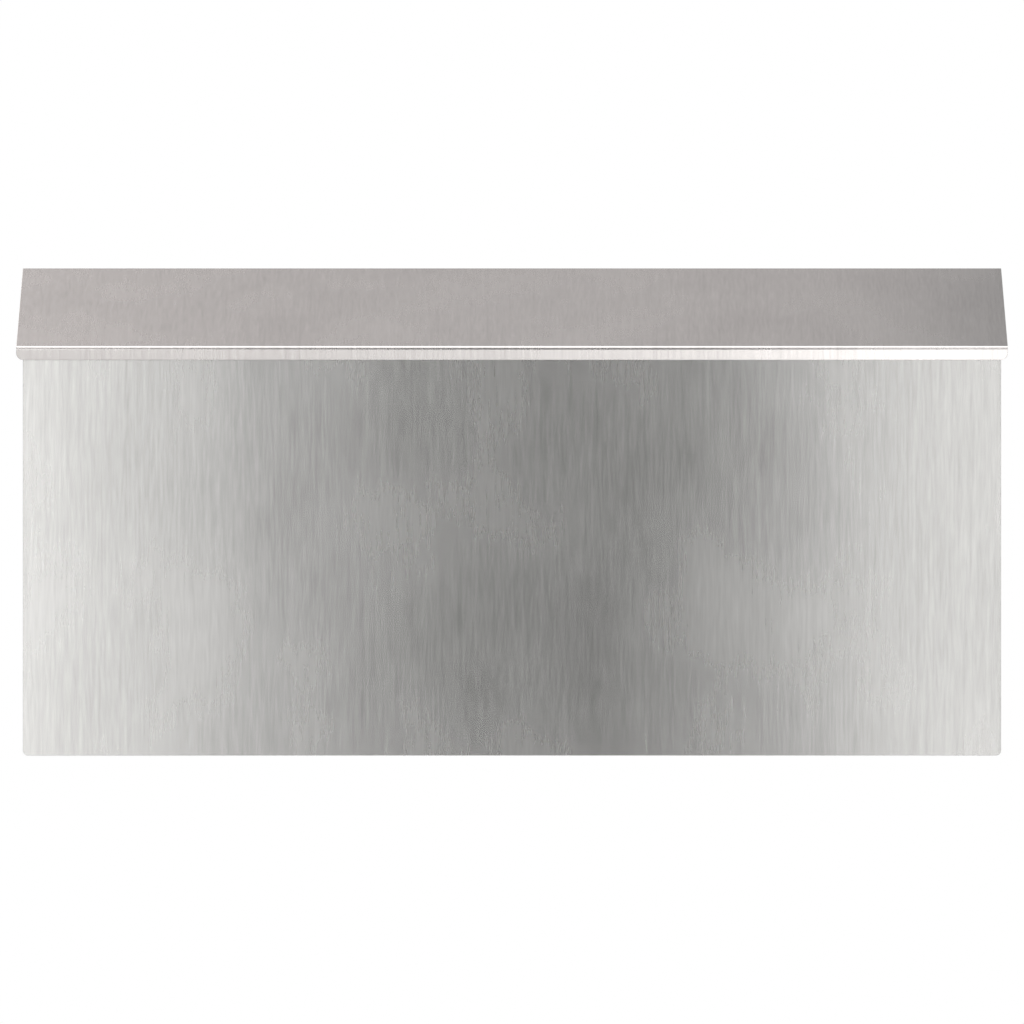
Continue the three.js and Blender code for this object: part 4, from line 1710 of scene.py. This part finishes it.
@dataclass
class Studio:
    """The floor, the lights and the camera, in metres."""

    distance: float = 7.98  # camera to the lid's front fold
    view_width: float = 0.3924  # width seen at that distance
    camera_height: float = -0.00065
    floor_height: float = -0.55
    floor_half: float = 12.0
    before: float = 0.01  # the surround's brightness in front of the mailbox
    around: float = 0.42  # and beside and behind it
    brightening: tuple[float, float] = (-0.97, -0.6)  # y of the directions it changes between
    lights: tuple[Panel, ...] = (
        Panel("left_near", (-0.275, -0.30, -0.02), (-0.234, -0.11, -0.02), (0.15, 0.5), 0.45),
        Panel("left_front", (-0.24, -0.70, -0.02), (-0.204, -0.11, -0.02), (0.2, 0.5), 2.60),
        Panel("right_near", (0.18, -0.42, -0.02), (0.153, -0.11, -0.02), (0.08, 0.5), 2.23),
        Panel("right_front", (0.24, -0.70, -0.02), (0.204, -0.11, -0.02), (0.2, 0.5), 0.41),
        Panel("right_edge", (0.275, -0.30, -0.02), (0.234, -0.11, -0.02), (0.15, 0.5), 0.30),
        Panel("low_centre", (0.0, -0.60, -0.24), (0.0, -0.11, -0.09), (0.5, 0.12), 1.20),
        Panel("low_right", (0.16, -0.70, -0.32), (0.1, -0.11, 0.0), (0.3, 0.2), 0.50),
        Panel("lid_middle", (-0.02, 0.50, 0.42), (-0.02, -0.05, 0.08), (0.4, 0.35), 0.215, ROSY),
        Panel("lid_left", (-0.75, 1.25, 0.85), (-0.1, -0.05, 0.08), (0.9, 0.8), 1.25, ROSY),
        Panel("over_front", (0.0, -1.0, 1.0), (0.0, -0.11, 0.0), (1.6, 0.9), 0.9),
        Panel("over_high", (0.0, -0.55, 1.25), (0.0, -0.11, 0.0), (1.6, 0.6), 1.6),
        Panel("overhead", (0.0, -0.15, 1.3), (0.0, -0.1, 0.0), (1.6, 0.5), 1.0),
        Panel("ceiling", (0.0, 1.2, 4.0), (0.0, 1.2, -0.55), (10.0, 3.2), 1.6),
        Panel("rear_wall", (0.0, 3.0, -0.2), (0.0, 0.0, 0.0), (3.0, 1.6), 0.35),
        Panel("left_wall", (-3.0, 0.3, 0.2), (0.0, 0.0, 0.0), (2.0, 2.0), 0.3),
        Panel("right_wall", (3.0, 0.3, 0.2), (0.0, 0.0, 0.0), (2.0, 2.0), 0.3),
    )

    def floor(self) -> None:
        """A wide pale floor, well below the mailbox."""
        half = self.floor_half
        corners = pairs((-half, half), (-half, half))[[0, 1, 3, 2]]
        mesh = bpy.data.meshes.new("studio_floor")
        points = np.column_stack([corners, np.full(4, self.floor_height)])
        mesh.from_pydata(points.tolist(), [], [(0, 1, 2, 3)])
        floor = link("studio_floor", mesh, PaleFloor().material())
        floor.visible_glossy = False  # the steel mirrors the grey of the studio instead

    def world(self) -> None:
        """White where the camera looks past the mailbox, and a grey surround in its reflections.

        The surround is darkest straight in front. It brightens with the y part of its direction,
        along a smooth step, to an even grey from the sides round to the back.
        """
        world = bpy.data.worlds.new("studio")
        world.use_nodes = True
        tree = world.node_tree
        tree.nodes.clear()
        way = add_node(tree, "TexCoord").outputs["Generated"]
        back = add_node(tree, "SeparateXYZ", {0: way}).outputs["Y"]
        step = {
            "Value": back,
            "From Min": self.brightening[0],
            "From Max": self.brightening[1],
            "To Min": self.before,
            "To Max": self.around,
        }
        grey = add_node(tree, "MapRange", step, interpolation_type="SMOOTHSTEP").outputs[0]
        seen = add_node(tree, "LightPath").outputs["Is Camera Ray"]
        strength = add_node(tree, "Mix", {0: seen, 2: grey, 3: 1.0}).outputs[0]
        light = add_node(tree, "Background", {"Strength": strength, "Color": (1.0, 1.0, 1.0, 1.0)})
        add_node(tree, "OutputWorld", {"Surface": light.outputs[0]})
        bpy.context.scene.world = world

    def camera(self) -> None:
        """A long lens looking straight at the front."""
        data = bpy.data.cameras.new("camera")
        data.sensor_width = 36.0
        data.lens = data.sensor_width * self.distance / self.view_width
        data.clip_end = 100.0
        camera = bpy.data.objects.new("camera", data)
        front = float(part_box("lid_panel")[0][1])
        camera.location = (0.0, front - self.distance, self.camera_height)
        camera.rotation_euler = (math.pi / 2, 0.0, 0.0)
        bpy.context.scene.collection.objects.link(camera)
        bpy.context.scene.camera = camera

    def build(self) -> None:
        """Makes the studio."""
        self.floor()
        self.world()
        self.camera()
        for light in self.lights:
            light.build()
        bpy.context.scene.view_settings.view_transform = "Standard"


def main() -> None:
    """Builds the mailbox and its studio."""
    logging.basicConfig(level=logging.INFO, format="%(name)s: %(message)s")
    plan, stock = Plan.from_frame(), Stock()
    Housing(plan, stock).build()
    PianoHinge(plan, stock).build()
    Lid(plan, stock).build()
    Bumpers(plan, stock).build()
    Studio().build()


if __name__ == "__main__":
    main()
